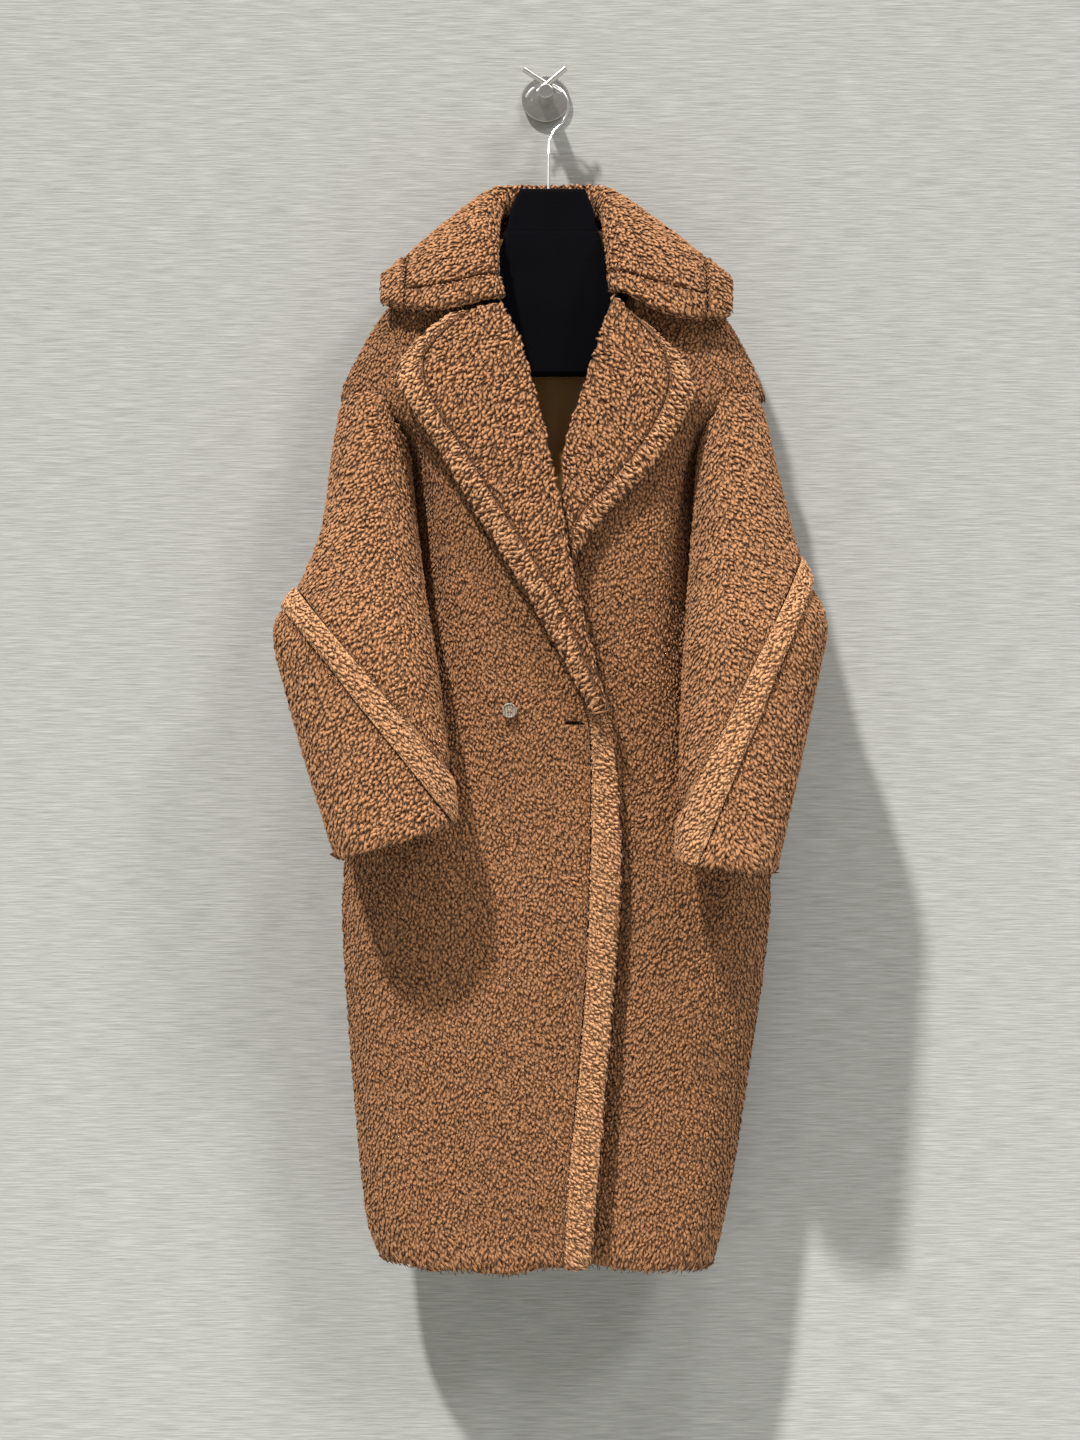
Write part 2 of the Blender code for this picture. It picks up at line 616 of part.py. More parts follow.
def left_turn(height, share):
    edge = turn_at(height, smooth_at(LEFT_EDGE["height"], LEFT_EDGE["x"], height))
    return even_turns(height, edge, 2 * math.pi - side_gap(height), share)


def hull_turns(height):
    """The turns of the panels' own columns, but for those in the middle of the front."""
    turns = [back_turn(height, column / BACK_COLUMNS) for column in range(BACK_COLUMNS + 1)]
    middle = FRONT_COLUMNS // 2
    turns += [right_turn(height, column / FRONT_COLUMNS) for column in range(middle + 1)]
    turns += [left_turn(height, column / FRONT_COLUMNS) for column in range(middle, FRONT_COLUMNS + 1)]
    return turns


# The stretch of the body that the sleeves' upper parts lie against.
HULL_LOW = -0.80
HULL_TOP = -0.20
HULL_HEIGHTS = [height for height in PANEL_HEIGHTS if HULL_LOW < height < HULL_TOP]
HULL_COLUMNS = len(hull_turns(HULL_HEIGHTS[0]))


def body_hull_point(u, v):
    height = HULL_HEIGHTS[round(v * (len(HULL_HEIGHTS) - 1))]
    turn = hull_turns(height)[round(u * HULL_COLUMNS)]
    return body_point(height, turn, -ARMHOLE_GAP)


ARMHOLE_RINGS = 8
ARMHOLE_REACH = 0.25
body_hull = as_cutter("body_hull", tube_solid(HULL_COLUMNS, len(HULL_HEIGHTS) - 1, body_hull_point))
armhole_cutters = {}
for side, rows in SLEEVES.items():
    outward = -1 if side == "right" else 1
    upper_seam, lower_seam = RIGHT_SLEEVE_BAND if side == "right" else LEFT_SLEEVE_BAND
    upper_point, upper_normal = seam_plane(upper_seam, outward)
    lower_point, lower_normal = seam_plane(lower_seam, outward)
    half_gap = SEAM_GAP / 2

    bm = sleeve_tube(rows, 0.0, -CLOTH)
    keep_side(bm, upper_point - upper_normal * half_gap, upper_normal)
    keep_side(bm, Vector((0.0, 0.0, SHOULDER_SEAM)), Vector((0.0, 0.0, 1.0)))
    upper = add_object(f"sleeve_{side}_upper", bm, "pile")
    cut(upper, body_hull)
    keep_largest(upper)

    bm = sleeve_tube(rows, SLEEVE_BAND_LIFT, -CLOTH)
    keep_side(bm, upper_point + upper_normal * half_gap, -upper_normal)
    keep_side(bm, lower_point - lower_normal * half_gap, lower_normal)
    add_object(f"sleeve_{side}_band", bm, "light_pile")

    bm = sleeve_tube(rows, 0.0, -CLOTH)
    keep_side(bm, lower_point + lower_normal * half_gap, -lower_normal)
    add_object(f"sleeve_{side}_lower", bm, "pile")

    inside = tube_solid(
        SLEEVE_SEGMENTS, ARMHOLE_RINGS, lambda u, v: sleeve_point(rows, u, ARMHOLE_REACH * v, -CLOTH)
    )
    keep_side(inside, Vector((0.0, 0.0, SHOULDER_SEAM - ARMHOLE_GAP)), Vector((0.0, 0.0, 1.0)))
    armhole_cutters[side] = as_cutter(f"armhole_{side}", inside)

# ---- body: a back and two fronts, joined at the shoulders and sides and open at neck and hem ----
def panel(name, columns, turn_of, inset):
    """A panel whose columns lie at the turns that turn_of gives for each height."""

    def place(u, v, depth):
        height = PANEL_HEIGHTS[PANEL_ROWS - round(v * PANEL_ROWS)]
        turn = turn_of(height, u)
        return body_point(height, turn, depth + inset(height, turn))

    bm = grid_wall(columns, PANEL_ROWS, lambda u, v: place(u, v, 0.0), lambda u, v: place(u, v, CLOTH))
    return add_object(name, bm, "pile")


def no_inset(height, turn):
    return 0.0


def lap_inset(height, turn):
    """The left front lies under the right one as far as the closing edge."""
    if height < BAND_TOP:
        closing_x = smooth_at(CLOSING_EDGE["height"], CLOSING_EDGE["x"], height)
    else:
        closing_x = smooth_at(RIGHT_EDGE["height"], RIGHT_EDGE["x"], height)
    x = body_place(height, turn).x
    return LAP_INSET * float(1 - ease((x - closing_x - LAP_START) / LAP_BLEND))


back = panel("back_panel", BACK_COLUMNS, back_turn, no_inset)
front_right = panel("front_right", FRONT_COLUMNS, right_turn, no_inset)
front_left = panel("front_left", FRONT_COLUMNS, left_turn, lap_inset)
for piece in (back, front_right, front_left):
    for cutter in armhole_cutters.values():
        cut(piece, cutter)


def band_place(u, v, depth):
    height = HEM_HEIGHT + (BAND_TOP - HEM_HEIGHT) * v
    start_x = smooth_at(RIGHT_EDGE["height"], RIGHT_EDGE["x"], height) + BAND_GAP
    end_x = smooth_at(CLOSING_EDGE["height"], CLOSING_EDGE["x"], height)
    turn = turn_at(height, start_x + (end_x - start_x) * u)
    rounding = BAND_ROUND * u**4 if depth < 0.0 else 0.0
    return body_point(height, turn, depth + rounding)


add_object(
    "front_band",
    grid_wall(2, 16, lambda u, v: band_place(u, v, -BAND_LIFT), lambda u, v: band_place(u, v, CLOTH)),
    "light_pile",
)

# The buttonhole is a slit through the right front's rolled edge, above the band.
bm = bmesh.new()
bmesh.ops.create_cube(bm, size=1.0)
bmesh.ops.scale(bm, vec=BUTTONHOLE_SIZE, verts=bm.verts)
bmesh.ops.translate(bm, vec=BUTTONHOLE_PLACE, verts=bm.verts)
buttonhole = as_cutter("buttonhole", bm)
cut(front_right, buttonhole)
for piece in (back, front_right, front_left):
    keep_largest(piece)

# ---- lining: the satin of the upper back, where the open neck shows it ----
LINING_TOP = -0.150
LINING_LOW = -0.560
LINING_STAND_OFF = 0.0045
LINING_SIDE = 0.22


def lining_place(u, v, depth):
    height = LINING_LOW + (LINING_TOP - LINING_LOW) * v
    turn = even_turns(height, LINING_SIDE * math.pi, (1 - LINING_SIDE) * math.pi, u)
    return body_point(height, turn, CLOTH + LINING_STAND_OFF + depth)


add_object(
    "lining_back",
    grid_wall(8, 9, lambda u, v: lining_place(u, v, 0.0), lambda u, v: lining_place(u, v, LINING_CLOTH)),
    "satin",
)

# ---- lapels: each a leaf that stands off its front, with a border sewn along its outer edge ----
CHEST_SPREAD = 0.055


def chest_y(x, height):
    """The chest under the lapels, a little fuller at its corners than the body."""
    middle_x, middle_y, half_width, half_depth = body_size(height)
    share = min(abs(x - middle_x) / (half_width + CHEST_SPREAD), 1.0)
    return middle_y - half_depth * (1 - share**BODY_ROUNDNESS) ** (1 / BODY_ROUNDNESS)


def lapel_point(rows, u, v, depth):
    """u runs from the roll line to the outer edge and v from the tip to the top."""
    count = len(rows["roll_x"]) - 1
    knots = np.arange(count + 1) / count
    at = {name: smooth_at(knots, values, 1 - v) for name, values in rows.items()}
    x = at["roll_x"] + (at["edge_x"] - at["roll_x"]) * u
    z = at["roll_z"] + (at["edge_z"] - at["roll_z"]) * u
    lift = at["roll_lift"] + (at["edge_lift"] - at["roll_lift"]) * u
    return Vector((x, chest_y(x, z) - lift + depth, z))


def lapel_border_share(rows, v):
    """The share of the leaf's width that lies inside its border seam."""
    count = len(rows["roll_x"]) - 1
    knots = np.arange(count + 1) / count
    at = {name: smooth_at(knots, values, 1 - v) for name, values in rows.items()}
    width = math.hypot(at["edge_x"] - at["roll_x"], at["edge_z"] - at["roll_z"])
    return max(1 - LAPEL_BORDER / width, LEAST_LEAF_SHARE)


def lapel(side, rows):
    def leaf(u, v, depth):
        share = lapel_border_share(rows, v)
        rounding = LAPEL_ROUND * (1 - u) ** 6 if depth == 0.0 else 0.0
        return lapel_point(rows, u * (share - LAPEL_SEAM_SHARE), v, depth + rounding)

    def border(u, v, depth):
        share = lapel_border_share(rows, v)
        rounding = LAPEL_ROUND * u**5 if depth < 0.0 else 0.0
        return lapel_point(rows, share + (1 - share) * u, v, depth + rounding)

    leaf_mesh = grid_wall(5, 14, lambda u, v: leaf(u, v, 0.0), lambda u, v: leaf(u, v, LAPEL_CLOTH))
    add_object(f"lapel_{side}", leaf_mesh, "light_pile")
    border_mesh = grid_wall(
        2, 14, lambda u, v: border(u, v, -BORDER_LIFT), lambda u, v: border(u, v, LAPEL_CLOTH)
    )
    add_object(f"lapel_{side}_border", border_mesh, "light_pile")


lapel("right", table(LAPEL_COLUMNS, RIGHT_LAPEL))
lapel("left", table(LAPEL_COLUMNS, LEFT_LAPEL))

# ---- collar: rises from the neck, rolls over and lies on the shoulders, with a border round its edge ----
COLLAR = table(COLLAR_COLUMNS, COLLAR_ROWS)
COLLAR_STEP = 0.02


def collar_row(along):
    at = {name: smooth_at(COLLAR["along"], values, along) for name, values in COLLAR.items()}
    return [Vector(tuple(at[f"{point}_{axis}"] for axis in "xyz")) for point in ("roll", "pull", "edge")]


@functools.lru_cache(maxsize=None)
def collar_knots(along):
    """The points that one section of the collar passes through, from its stand to its edge."""
    roll, pull, edge = collar_row(along)
    outward = (edge - roll) * Vector((1, 1, 0))
    outward.normalize()
    lean = float(ease(abs(along))) * math.pi / 2
    up = Vector((0.0, -math.sin(lean), math.cos(lean)))
    stand = roll + outward * COLLAR_STAND_OUT - up * COLLAR_STAND
    crest = roll + outward * COLLAR_CREST_OUT + up * COLLAR_CREST_UP
    knots = [stand, roll, crest]
    for t in COLLAR_FALL_SHARES:
        knots.append(crest * (1 - t) ** 2 + pull * 2 * t * (1 - t) + edge * t * t)
    return knots


def collar_place(along, down):
    knots = collar_knots(round(along, 6))
    lengths = np.cumsum([0.0] + [(b - a).length for a, b in zip(knots, knots[1:])])
    lengths = lengths / lengths[-1]
    return Vector([smooth_at(lengths, np.array([knot[axis] for knot in knots]), down) for axis in range(3)])


def collar_point(along, down, depth):
    """down runs from the stand's lower edge, over the roll, to the outer edge."""
    place = collar_place(along, down)
    low, high = max(down - COLLAR_STEP, 0.0), min(down + COLLAR_STEP, 1.0)
    before, after = max(along - COLLAR_STEP, -1.0), min(along + COLLAR_STEP, 1.0)
    over = collar_place(along, high) - collar_place(along, low)
    around = collar_place(after, down) - collar_place(before, down)
    return place - around.cross(over).normalized() * depth


def collar_piece(name, shape, along, down, lift):
    def place(u, v, depth):
        return collar_point(along[0] + (along[1] - along[0]) * u, down[0] + (down[1] - down[0]) * v, depth)

    bm = grid_wall(*shape, lambda u, v: place(u, v, -lift), lambda u, v: place(u, v, COLLAR_CLOTH))
    add_object(name, bm, "light_pile")


BORDER_START = 1 - COLLAR_BORDER
COLLAR_END = 5 / 6
COLLAR_GAP = 0.008
COLLAR_ROWS_DOWN = 8
fall = (0.0, BORDER_START - COLLAR_GAP)
collar_piece("collar", (20, COLLAR_ROWS_DOWN), (-COLLAR_END, COLLAR_END), fall, 0.0)
collar_piece("collar_border", (24, 2), (-1.0, 1.0), (BORDER_START, 1.0), BORDER_LIFT)
collar_piece("collar_right_end", (2, COLLAR_ROWS_DOWN), (-1.0, -COLLAR_END - COLLAR_GAP), fall, BORDER_LIFT)
collar_piece("collar_left_end", (2, COLLAR_ROWS_DOWN), (COLLAR_END + COLLAR_GAP, 1.0), fall, BORDER_LIFT)

# ---- button: a round shell disc with four holes, on the right front beside the buttonhole ----
bm = bmesh.new()
button_y = chest_y(*BUTTON_PLACE) - BUTTON_STAND_OFF
bmesh.ops.create_cone(
    bm, cap_ends=True, segments=32, radius1=BUTTON_RADIUS, radius2=BUTTON_RADIUS, depth=BUTTON_THICKNESS
)
bm.normal_update()
rims = [edge for edge in bm.edges if abs(edge.verts[0].co.z - edge.verts[1].co.z) < BUTTON_THICKNESS / 2]
bmesh.ops.bevel(bm, geom=rims, offset=BUTTON_ROUND, segments=2, profile=0.5, affect="EDGES", material=-1)
turn_forward = Vector((0, 0, 1)).rotation_difference(Vector((0, -1, 0))).to_matrix()
bmesh.ops.rotate(bm, matrix=turn_forward, verts=bm.verts)
button_middle = Vector((BUTTON_PLACE[0], button_y - BUTTON_THICKNESS / 2, BUTTON_PLACE[1]))
bmesh.ops.translate(bm, vec=button_middle, verts=bm.verts)
button = add_object("button", bm, "shell")
bm = bmesh.new()
for across in (-1, 1):
    for up in (-1, 1):
        made = bmesh.ops.create_cone(
            bm,
            cap_ends=True,
            segments=12,
            radius1=BUTTON_HOLE_RADIUS,
            radius2=BUTTON_HOLE_RADIUS,
            depth=BUTTON_THICKNESS * 3,
        )["verts"]
        bmesh.ops.rotate(bm, matrix=turn_forward, verts=made)
        offset = Vector((across * BUTTON_HOLE_SPACING, 0.0, up * BUTTON_HOLE_SPACING))
        bmesh.ops.translate(bm, vec=button_middle + offset, verts=made)
cut(button, as_cutter("button_holes", bm))

# ---- hanger: a flocked board with a neck, and its wire hook ----
outline = bpy.data.curves.new("hanger_form", "CURVE")
outline.dimensions = "2D"
outline.fill_mode = "BOTH"
outline.extrude = HANGER_HALF_DEPTH - HANGER_EDGE_ROUND
outline.bevel_depth = HANGER_EDGE_ROUND
outline.bevel_resolution = 1
outline.offset = -HANGER_EDGE_ROUND
spline = outline.splines.new("POLY")
spline.points.add(len(HANGER_OUTLINE) - 1)
for point, (x, z) in zip(spline.points, HANGER_OUTLINE):
    point.co = (x, z, 0.0, 1.0)
spline.use_cyclic_u = True
outline.materials.append(FINISHES["flock"])
hanger = bpy.data.objects.new("hanger_form", outline)
hanger.rotation_euler = (math.pi / 2, 0.0, 0.0)
hanger.location = (0.0, HANGER_MIDDLE_Y, 0.0)
coat.objects.link(hanger)


def rod(name, points, radius, finish_name, smoothness=2):
    """A round bar along a line of points."""
    curve = bpy.data.curves.new(name, "CURVE")
    curve.dimensions = "3D"
    curve.bevel_depth = radius
    curve.bevel_resolution = smoothness
    curve.use_fill_caps = True
    line = curve.splines.new("POLY")
    line.points.add(len(points) - 1)
    for knot, place in zip(line.points, points):
        knot.co = (*place, 1.0)
    curve.materials.append(FINISHES[finish_name])
    obj = bpy.data.objects.new(name, curve)
    coat.objects.link(obj)
    return obj


HOOK_START = math.radians(157)
HOOK_END = math.radians(-32)
HOOK_STEPS = 26
wire = []
for step in range(HOOK_STEPS + 1):
    angle = HOOK_START + (HOOK_END - HOOK_START) * step / HOOK_STEPS
    wire.append((
        HOOK_CENTRE[0] + HOOK_RADIUS * math.cos(angle), HOOK_Y, HOOK_CENTRE[1] + HOOK_RADIUS * math.sin(angle)
    ))
rod("hanger_hook", wire + list(HOOK_TAIL), WIRE_RADIUS, "chrome")

# ---- wall hook: a round plate, a post, and two crossed pegs through the post ----
bm = bmesh.new()
bmesh.ops.create_cone(
    bm, cap_ends=True, segments=48, radius1=PLATE_RADIUS, radius2=PLATE_RADIUS, depth=PLATE_THICKNESS
)
front_rim = [edge for edge in bm.edges if all(vertex.co.z > 0 for vertex in edge.verts)]
bmesh.ops.bevel(bm, geom=front_rim, offset=PLATE_ROUND, segments=3, profile=0.5, affect="EDGES", material=-1)
bmesh.ops.rotate(bm, matrix=turn_forward, verts=bm.verts)
bmesh.ops.translate(bm, vec=(0.0, -PLATE_THICKNESS / 2, 0.0), verts=bm.verts)
add_object("wall_plate", bm, "steel")

bm = bmesh.new()
post_start = PLATE_THICKNESS + SEAM_GAP
bmesh.ops.create_cone(
    bm, cap_ends=True, segments=32, radius1=POST_RADIUS, radius2=POST_RADIUS, depth=POST_LENGTH - post_start
)
front_rim = [edge for edge in bm.edges if all(vertex.co.z > 0 for vertex in edge.verts)]
bmesh.ops.bevel(bm, geom=front_rim, offset=POST_ROUND, segments=2, profile=0.5, affect="EDGES", material=-1)
bmesh.ops.rotate(bm, matrix=turn_forward, verts=bm.verts)
bmesh.ops.translate(bm, vec=(0.0, -(POST_LENGTH + post_start) / 2, 0.0), verts=bm.verts)
post = add_object("hook_post", bm, "steel")


def peg_mesh(low, high, radius):
    bm = bmesh.new()
    length = (high - low).length
    bmesh.ops.create_cone(bm, cap_ends=True, segments=20, radius1=radius, radius2=radius, depth=length)
    direction = Vector((0, 0, 1)).rotation_difference(high - low).to_matrix()
    bmesh.ops.rotate(bm, matrix=direction, verts=bm.verts)
    bmesh.ops.translate(bm, vec=(low + high) / 2, verts=bm.verts)
    return bm


for name, (low_x, low_z, high_x, high_z, y) in PEGS.items():
    low, high = Vector((low_x, y, low_z)), Vector((high_x, y, high_z))
    add_object(name, peg_mesh(low, high, PEG_RADIUS), "steel")
    reach = (high - low).normalized() * PEG_BORE_REACH
    cut(post, as_cutter(name + "_bore", peg_mesh(low - reach, high + reach, PEG_RADIUS + SEAM_GAP)))
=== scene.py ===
import json
import math

import bmesh
import bpy
import numpy as np
from mathutils import Matrix, Vector
from mathutils.bvhtree import BVHTree

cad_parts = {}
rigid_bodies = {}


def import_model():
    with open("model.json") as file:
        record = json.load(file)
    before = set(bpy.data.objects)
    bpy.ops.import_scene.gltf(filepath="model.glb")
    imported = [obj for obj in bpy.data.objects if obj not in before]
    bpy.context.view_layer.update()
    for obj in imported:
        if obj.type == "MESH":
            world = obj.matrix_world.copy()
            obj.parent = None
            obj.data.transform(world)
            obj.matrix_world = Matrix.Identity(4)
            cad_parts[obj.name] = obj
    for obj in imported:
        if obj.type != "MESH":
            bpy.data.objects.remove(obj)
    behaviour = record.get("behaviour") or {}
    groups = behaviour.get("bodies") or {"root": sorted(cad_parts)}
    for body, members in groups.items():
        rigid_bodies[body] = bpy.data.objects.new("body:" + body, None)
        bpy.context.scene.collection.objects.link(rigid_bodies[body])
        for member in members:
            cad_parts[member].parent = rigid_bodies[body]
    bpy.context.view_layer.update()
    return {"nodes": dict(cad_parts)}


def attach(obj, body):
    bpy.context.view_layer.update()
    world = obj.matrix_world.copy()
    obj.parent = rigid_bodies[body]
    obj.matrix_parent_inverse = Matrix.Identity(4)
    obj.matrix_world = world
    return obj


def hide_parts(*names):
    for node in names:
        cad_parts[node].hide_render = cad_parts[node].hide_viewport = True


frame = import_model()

# ---- Wall hook ----
# A round brushed-steel plate on the wall, a turned post, and two drawn pegs that cross through the post.
# The plate's grain runs straight across its face, and all four pieces are fixed together.
STEEL_LIGHT = (0.62, 0.60, 0.58, 1.0)
STEEL_DARK = (0.40, 0.39, 0.38, 1.0)
BAR_LIGHT = (0.70, 0.68, 0.66, 1.0)
BAR_DARK = (0.46, 0.45, 0.44, 1.0)


def add_node(tree, kind, inputs=(), **settings):
    """One shader or geometry node, with its settings and the plain values of its inputs."""
    made = tree.nodes.new(kind)
    for name, value in settings.items():
        setattr(made, name, value)
    for name, value in dict(inputs).items():
        made.inputs[name].default_value = value
    return made


def wire(tree, *links):
    """Links from rows of node, output, node and input. None stands for the first output in use."""
    for start, output, end, entry in links:
        in_use = [each for each in start.outputs if each.enabled]
        source = in_use[0] if output is None else start.outputs[output]
        tree.links.new(source, end.inputs[entry])


def new_finish(name, roughness, metallic=0.0):
    """A finish, its node tree and its shader."""
    finish = bpy.data.materials.new(name)
    finish.use_nodes = True
    shader = finish.node_tree.nodes["Principled BSDF"]
    shader.inputs["Roughness"].default_value = roughness
    shader.inputs["Metallic"].default_value = metallic
    return finish, finish.node_tree, shader


def new_group(name, inputs, outputs):
    """A node group for an effect that several finishes share."""
    group = bpy.data.node_groups.new(name, "ShaderNodeTree")
    for socket, kind, value in inputs:
        made = group.interface.new_socket(socket, in_out="INPUT", socket_type=kind)
        made.default_value = value
    for socket, kind in outputs:
        group.interface.new_socket(socket, in_out="OUTPUT", socket_type=kind)
    return group, group.nodes.new("NodeGroupInput"), group.nodes.new("NodeGroupOutput")


# Fine scratches: noise drawn out along one direction, as a colour between two tones and a height.
brushed, given, put_out = new_group(
    "brushed_grain",
    [
        ("Light", "NodeSocketColor", STEEL_LIGHT),
        ("Dark", "NodeSocketColor", STEEL_DARK),
        ("Stretch", "NodeSocketVector", (1.0, 1.0, 1.0)),
    ],
    [("Color", "NodeSocketColor"), ("Roughness", "NodeSocketFloat"), ("Height", "NodeSocketFloat")],
)
place = add_node(brushed, "ShaderNodeTexCoord")
stretch = add_node(brushed, "ShaderNodeVectorMath", operation="MULTIPLY")
streaks = add_node(brushed, "ShaderNodeTexNoise", {"Scale": 900.0, "Detail": 3.0})
tones = add_node(brushed, "ShaderNodeMix", data_type="RGBA")
shine = add_node(brushed, "ShaderNodeMapRange", {"To Min": 0.26, "To Max": 0.42})
wire(
    brushed,
    (place, "Object", stretch, 0),
    (given, "Stretch", stretch, 1),
    (stretch, "Vector", streaks, "Vector"),
    (streaks, "Fac", tones, "Factor"),
    (given, "Dark", tones, "A"),
    (given, "Light", tones, "B"),
    (streaks, "Fac", shine, "Value"),
    (tones, "Result", put_out, "Color"),
    (shine, "Result", put_out, "Roughness"),
    (streaks, "Fac", put_out, "Height"),
)


def brushed_metal(name, stretch, light, dark, bump):
    """Metal with the shared grain, drawn out along one axis."""
    finish, tree, shader = new_finish(name, 0.3, 1.0)
    grain = add_node(tree, "ShaderNodeGroup", node_tree=brushed)
    grain.inputs["Stretch"].default_value = stretch
    grain.inputs["Light"].default_value = light
    grain.inputs["Dark"].default_value = dark
    relief = add_node(tree, "ShaderNodeBump", {"Strength": bump, "Distance": 0.0002})
    wire(
        tree,
        (grain, "Color", shader, "Base Color"),
        (grain, "Roughness", shader, "Roughness"),
        (grain, "Height", relief, "Height"),
        (relief, "Normal", shader, "Normal"),
    )
    return finish


plate_steel = brushed_metal("plate_steel", (0.25, 1.0, 3.0), STEEL_LIGHT, STEEL_DARK, 0.25)
bar_steel = brushed_metal("bar_steel", (1.0, 0.2, 1.0), BAR_LIGHT, BAR_DARK, 0.15)


def wear(node, finish):
    """Gives a CAD piece its finish."""
    mesh = frame["nodes"][node].data
    mesh.materials.clear()
    mesh.materials.append(finish)


wear("wall_plate", plate_steel)
for node in ("hook_post", "hook_peg_right", "hook_peg_left"):
    wear(node, bar_steel)

# ---- Hanger ----
# A hard board with a narrow neck, covered with near-black flocked cloth that has one seam across its front.
# Its bright wire hook is bent in one piece and goes over the wall hook's post.
WIRE_LIGHT = (0.82, 0.82, 0.83, 1.0)
WIRE_DARK = (0.70, 0.70, 0.72, 1.0)
FLOCK_DARK = (0.0010, 0.0010, 0.0014, 1.0)
FLOCK_LIGHT = (0.0034, 0.0034, 0.0060, 1.0)
FLOCK_SHEEN = (0.35, 0.42, 0.62, 1.0)
FORM_SEAM_HEIGHT = -0.148
FORM_SEAM_WIDTH = 0.0016

chrome = brushed_metal("bright_wire", (1.0, 1.0, 1.0), WIRE_LIGHT, WIRE_DARK, 0.02)
wear("hanger_hook", chrome)

flock, tree, shader = new_finish("flocked_cloth", 0.95)
shader.inputs["Specular IOR Level"].default_value = 0.08
shader.inputs["Sheen Weight"].default_value = 0.02
shader.inputs["Sheen Roughness"].default_value = 0.45
shader.inputs["Sheen Tint"].default_value = FLOCK_SHEEN
place = add_node(tree, "ShaderNodeTexCoord")
fuzz = add_node(tree, "ShaderNodeTexNoise", {"Scale": 1400.0, "Detail": 4.0})
brush_marks = add_node(tree, "ShaderNodeTexNoise", {"Scale": 22.0, "Detail": 3.0})
shades = add_node(tree, "ShaderNodeMix", {"A": FLOCK_DARK, "B": FLOCK_LIGHT}, data_type="RGBA")
parts = add_node(tree, "ShaderNodeSeparateXYZ")
seam = add_node(tree, "ShaderNodeMapRange", {"From Min": 0.0, "From Max": FORM_SEAM_WIDTH})
offset = add_node(tree, "ShaderNodeMath", {1: -FORM_SEAM_HEIGHT}, operation="ADD")
nearness = add_node(tree, "ShaderNodeMath", operation="ABSOLUTE")
height = add_node(tree, "ShaderNodeMath", operation="MULTIPLY")
relief = add_node(tree, "ShaderNodeBump", {"Strength": 0.6, "Distance": 0.0008})
wire(
    tree,
    (place, "Object", fuzz, "Vector"),
    (place, "Object", brush_marks, "Vector"),
    (brush_marks, "Fac", shades, "Factor"),
    (shades, "Result", shader, "Base Color"),
    (place, "Object", parts, "Vector"),
    (parts, "Z", offset, 0),
    (offset, "Value", nearness, 0),
    (nearness, "Value", seam, "Value"),
    (seam, "Result", height, 0),
    (fuzz, "Fac", height, 1),
    (height, "Value", relief, "Height"),
    (relief, "Normal", shader, "Normal"),
)
wear("hanger_form", flock)

# ---- Lining ----
# Brown satin behind the open neck, cut with ease, so that it lies in soft vertical folds.
# It is thin, slippery cloth, sewn in at the neck and the fronts.
SATIN_LIGHT = (0.950, 0.540, 0.160, 1.0)
SATIN_DARK = (0.680, 0.330, 0.085, 1.0)
SATIN_SHEEN = (0.8, 0.55, 0.40, 1.0)
LINING_FOLDS = (
    # x, depth, width
    (-0.060, 0.0014, 0.012),
    (-0.022, -0.0016, 0.009),
    (0.006, 0.0018, 0.007),
    (0.024, -0.0015, 0.006),
    (0.043, 0.0016, 0.010),
    (0.085, -0.0014, 0.012),
)
# The folds lean a little about this height.
FOLD_LEAN = 0.05
FOLD_MIDDLE = -0.40
# Corners of a CAD wall that are this near each other are one.
SAME_PLACE = 0.00001
# An edge that turns more than this is sharp. It is kept firm by these shares, along a seam and elsewhere,
# and a seam is where another piece lies this near.
SHARP_EDGE = math.radians(50)
SEAM_FIRMNESS = 0.90
FREE_FIRMNESS = 0.35
SEAM_REACH = 0.004


def joined_walls(nodes):
    """The walls of several CAD pieces in one mesh."""
    bm = bmesh.new()
    for node in nodes:
        bm.from_mesh(frame["nodes"][node].data)
    return bm


def merged_copy(node, seams=()):
    """A copy of a CAD piece's wall in four-sided faces, firm where it's sewn to other pieces."""
    bm = joined_walls([node])
    bmesh.ops.remove_doubles(bm, verts=bm.verts[:], dist=SAME_PLACE)
    bmesh.ops.join_triangles(
        bm, faces=bm.faces[:], angle_face_threshold=SHARP_EDGE, angle_shape_threshold=math.radians(70)
    )
    firm = bm.edges.layers.float.new("crease_edge")
    neighbours = joined_walls(seams)
    tree = BVHTree.FromBMesh(neighbours)
    neighbours.free()
    for edge in bm.edges:
        middle = (edge.verts[0].co + edge.verts[1].co) / 2
        is_near = bool(seams) and tree.find_nearest(middle, SEAM_REACH)[0] is not None
        if edge.calc_face_angle(0.0) > SHARP_EDGE:
            edge[firm] = SEAM_FIRMNESS if is_near else FREE_FIRMNESS
    return bm


def new_piece(name, mesh, finish, slot, nodes=()):
    """A finished piece, which rides on the one body and takes the place of its CAD nodes."""
    mesh.materials.clear()
    mesh.materials.append(finish)
    piece = bpy.data.objects.new(name, mesh)
    bpy.context.scene.collection.objects.link(piece)
    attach(piece, "root")
    if nodes:
        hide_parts(*nodes)
    return piece


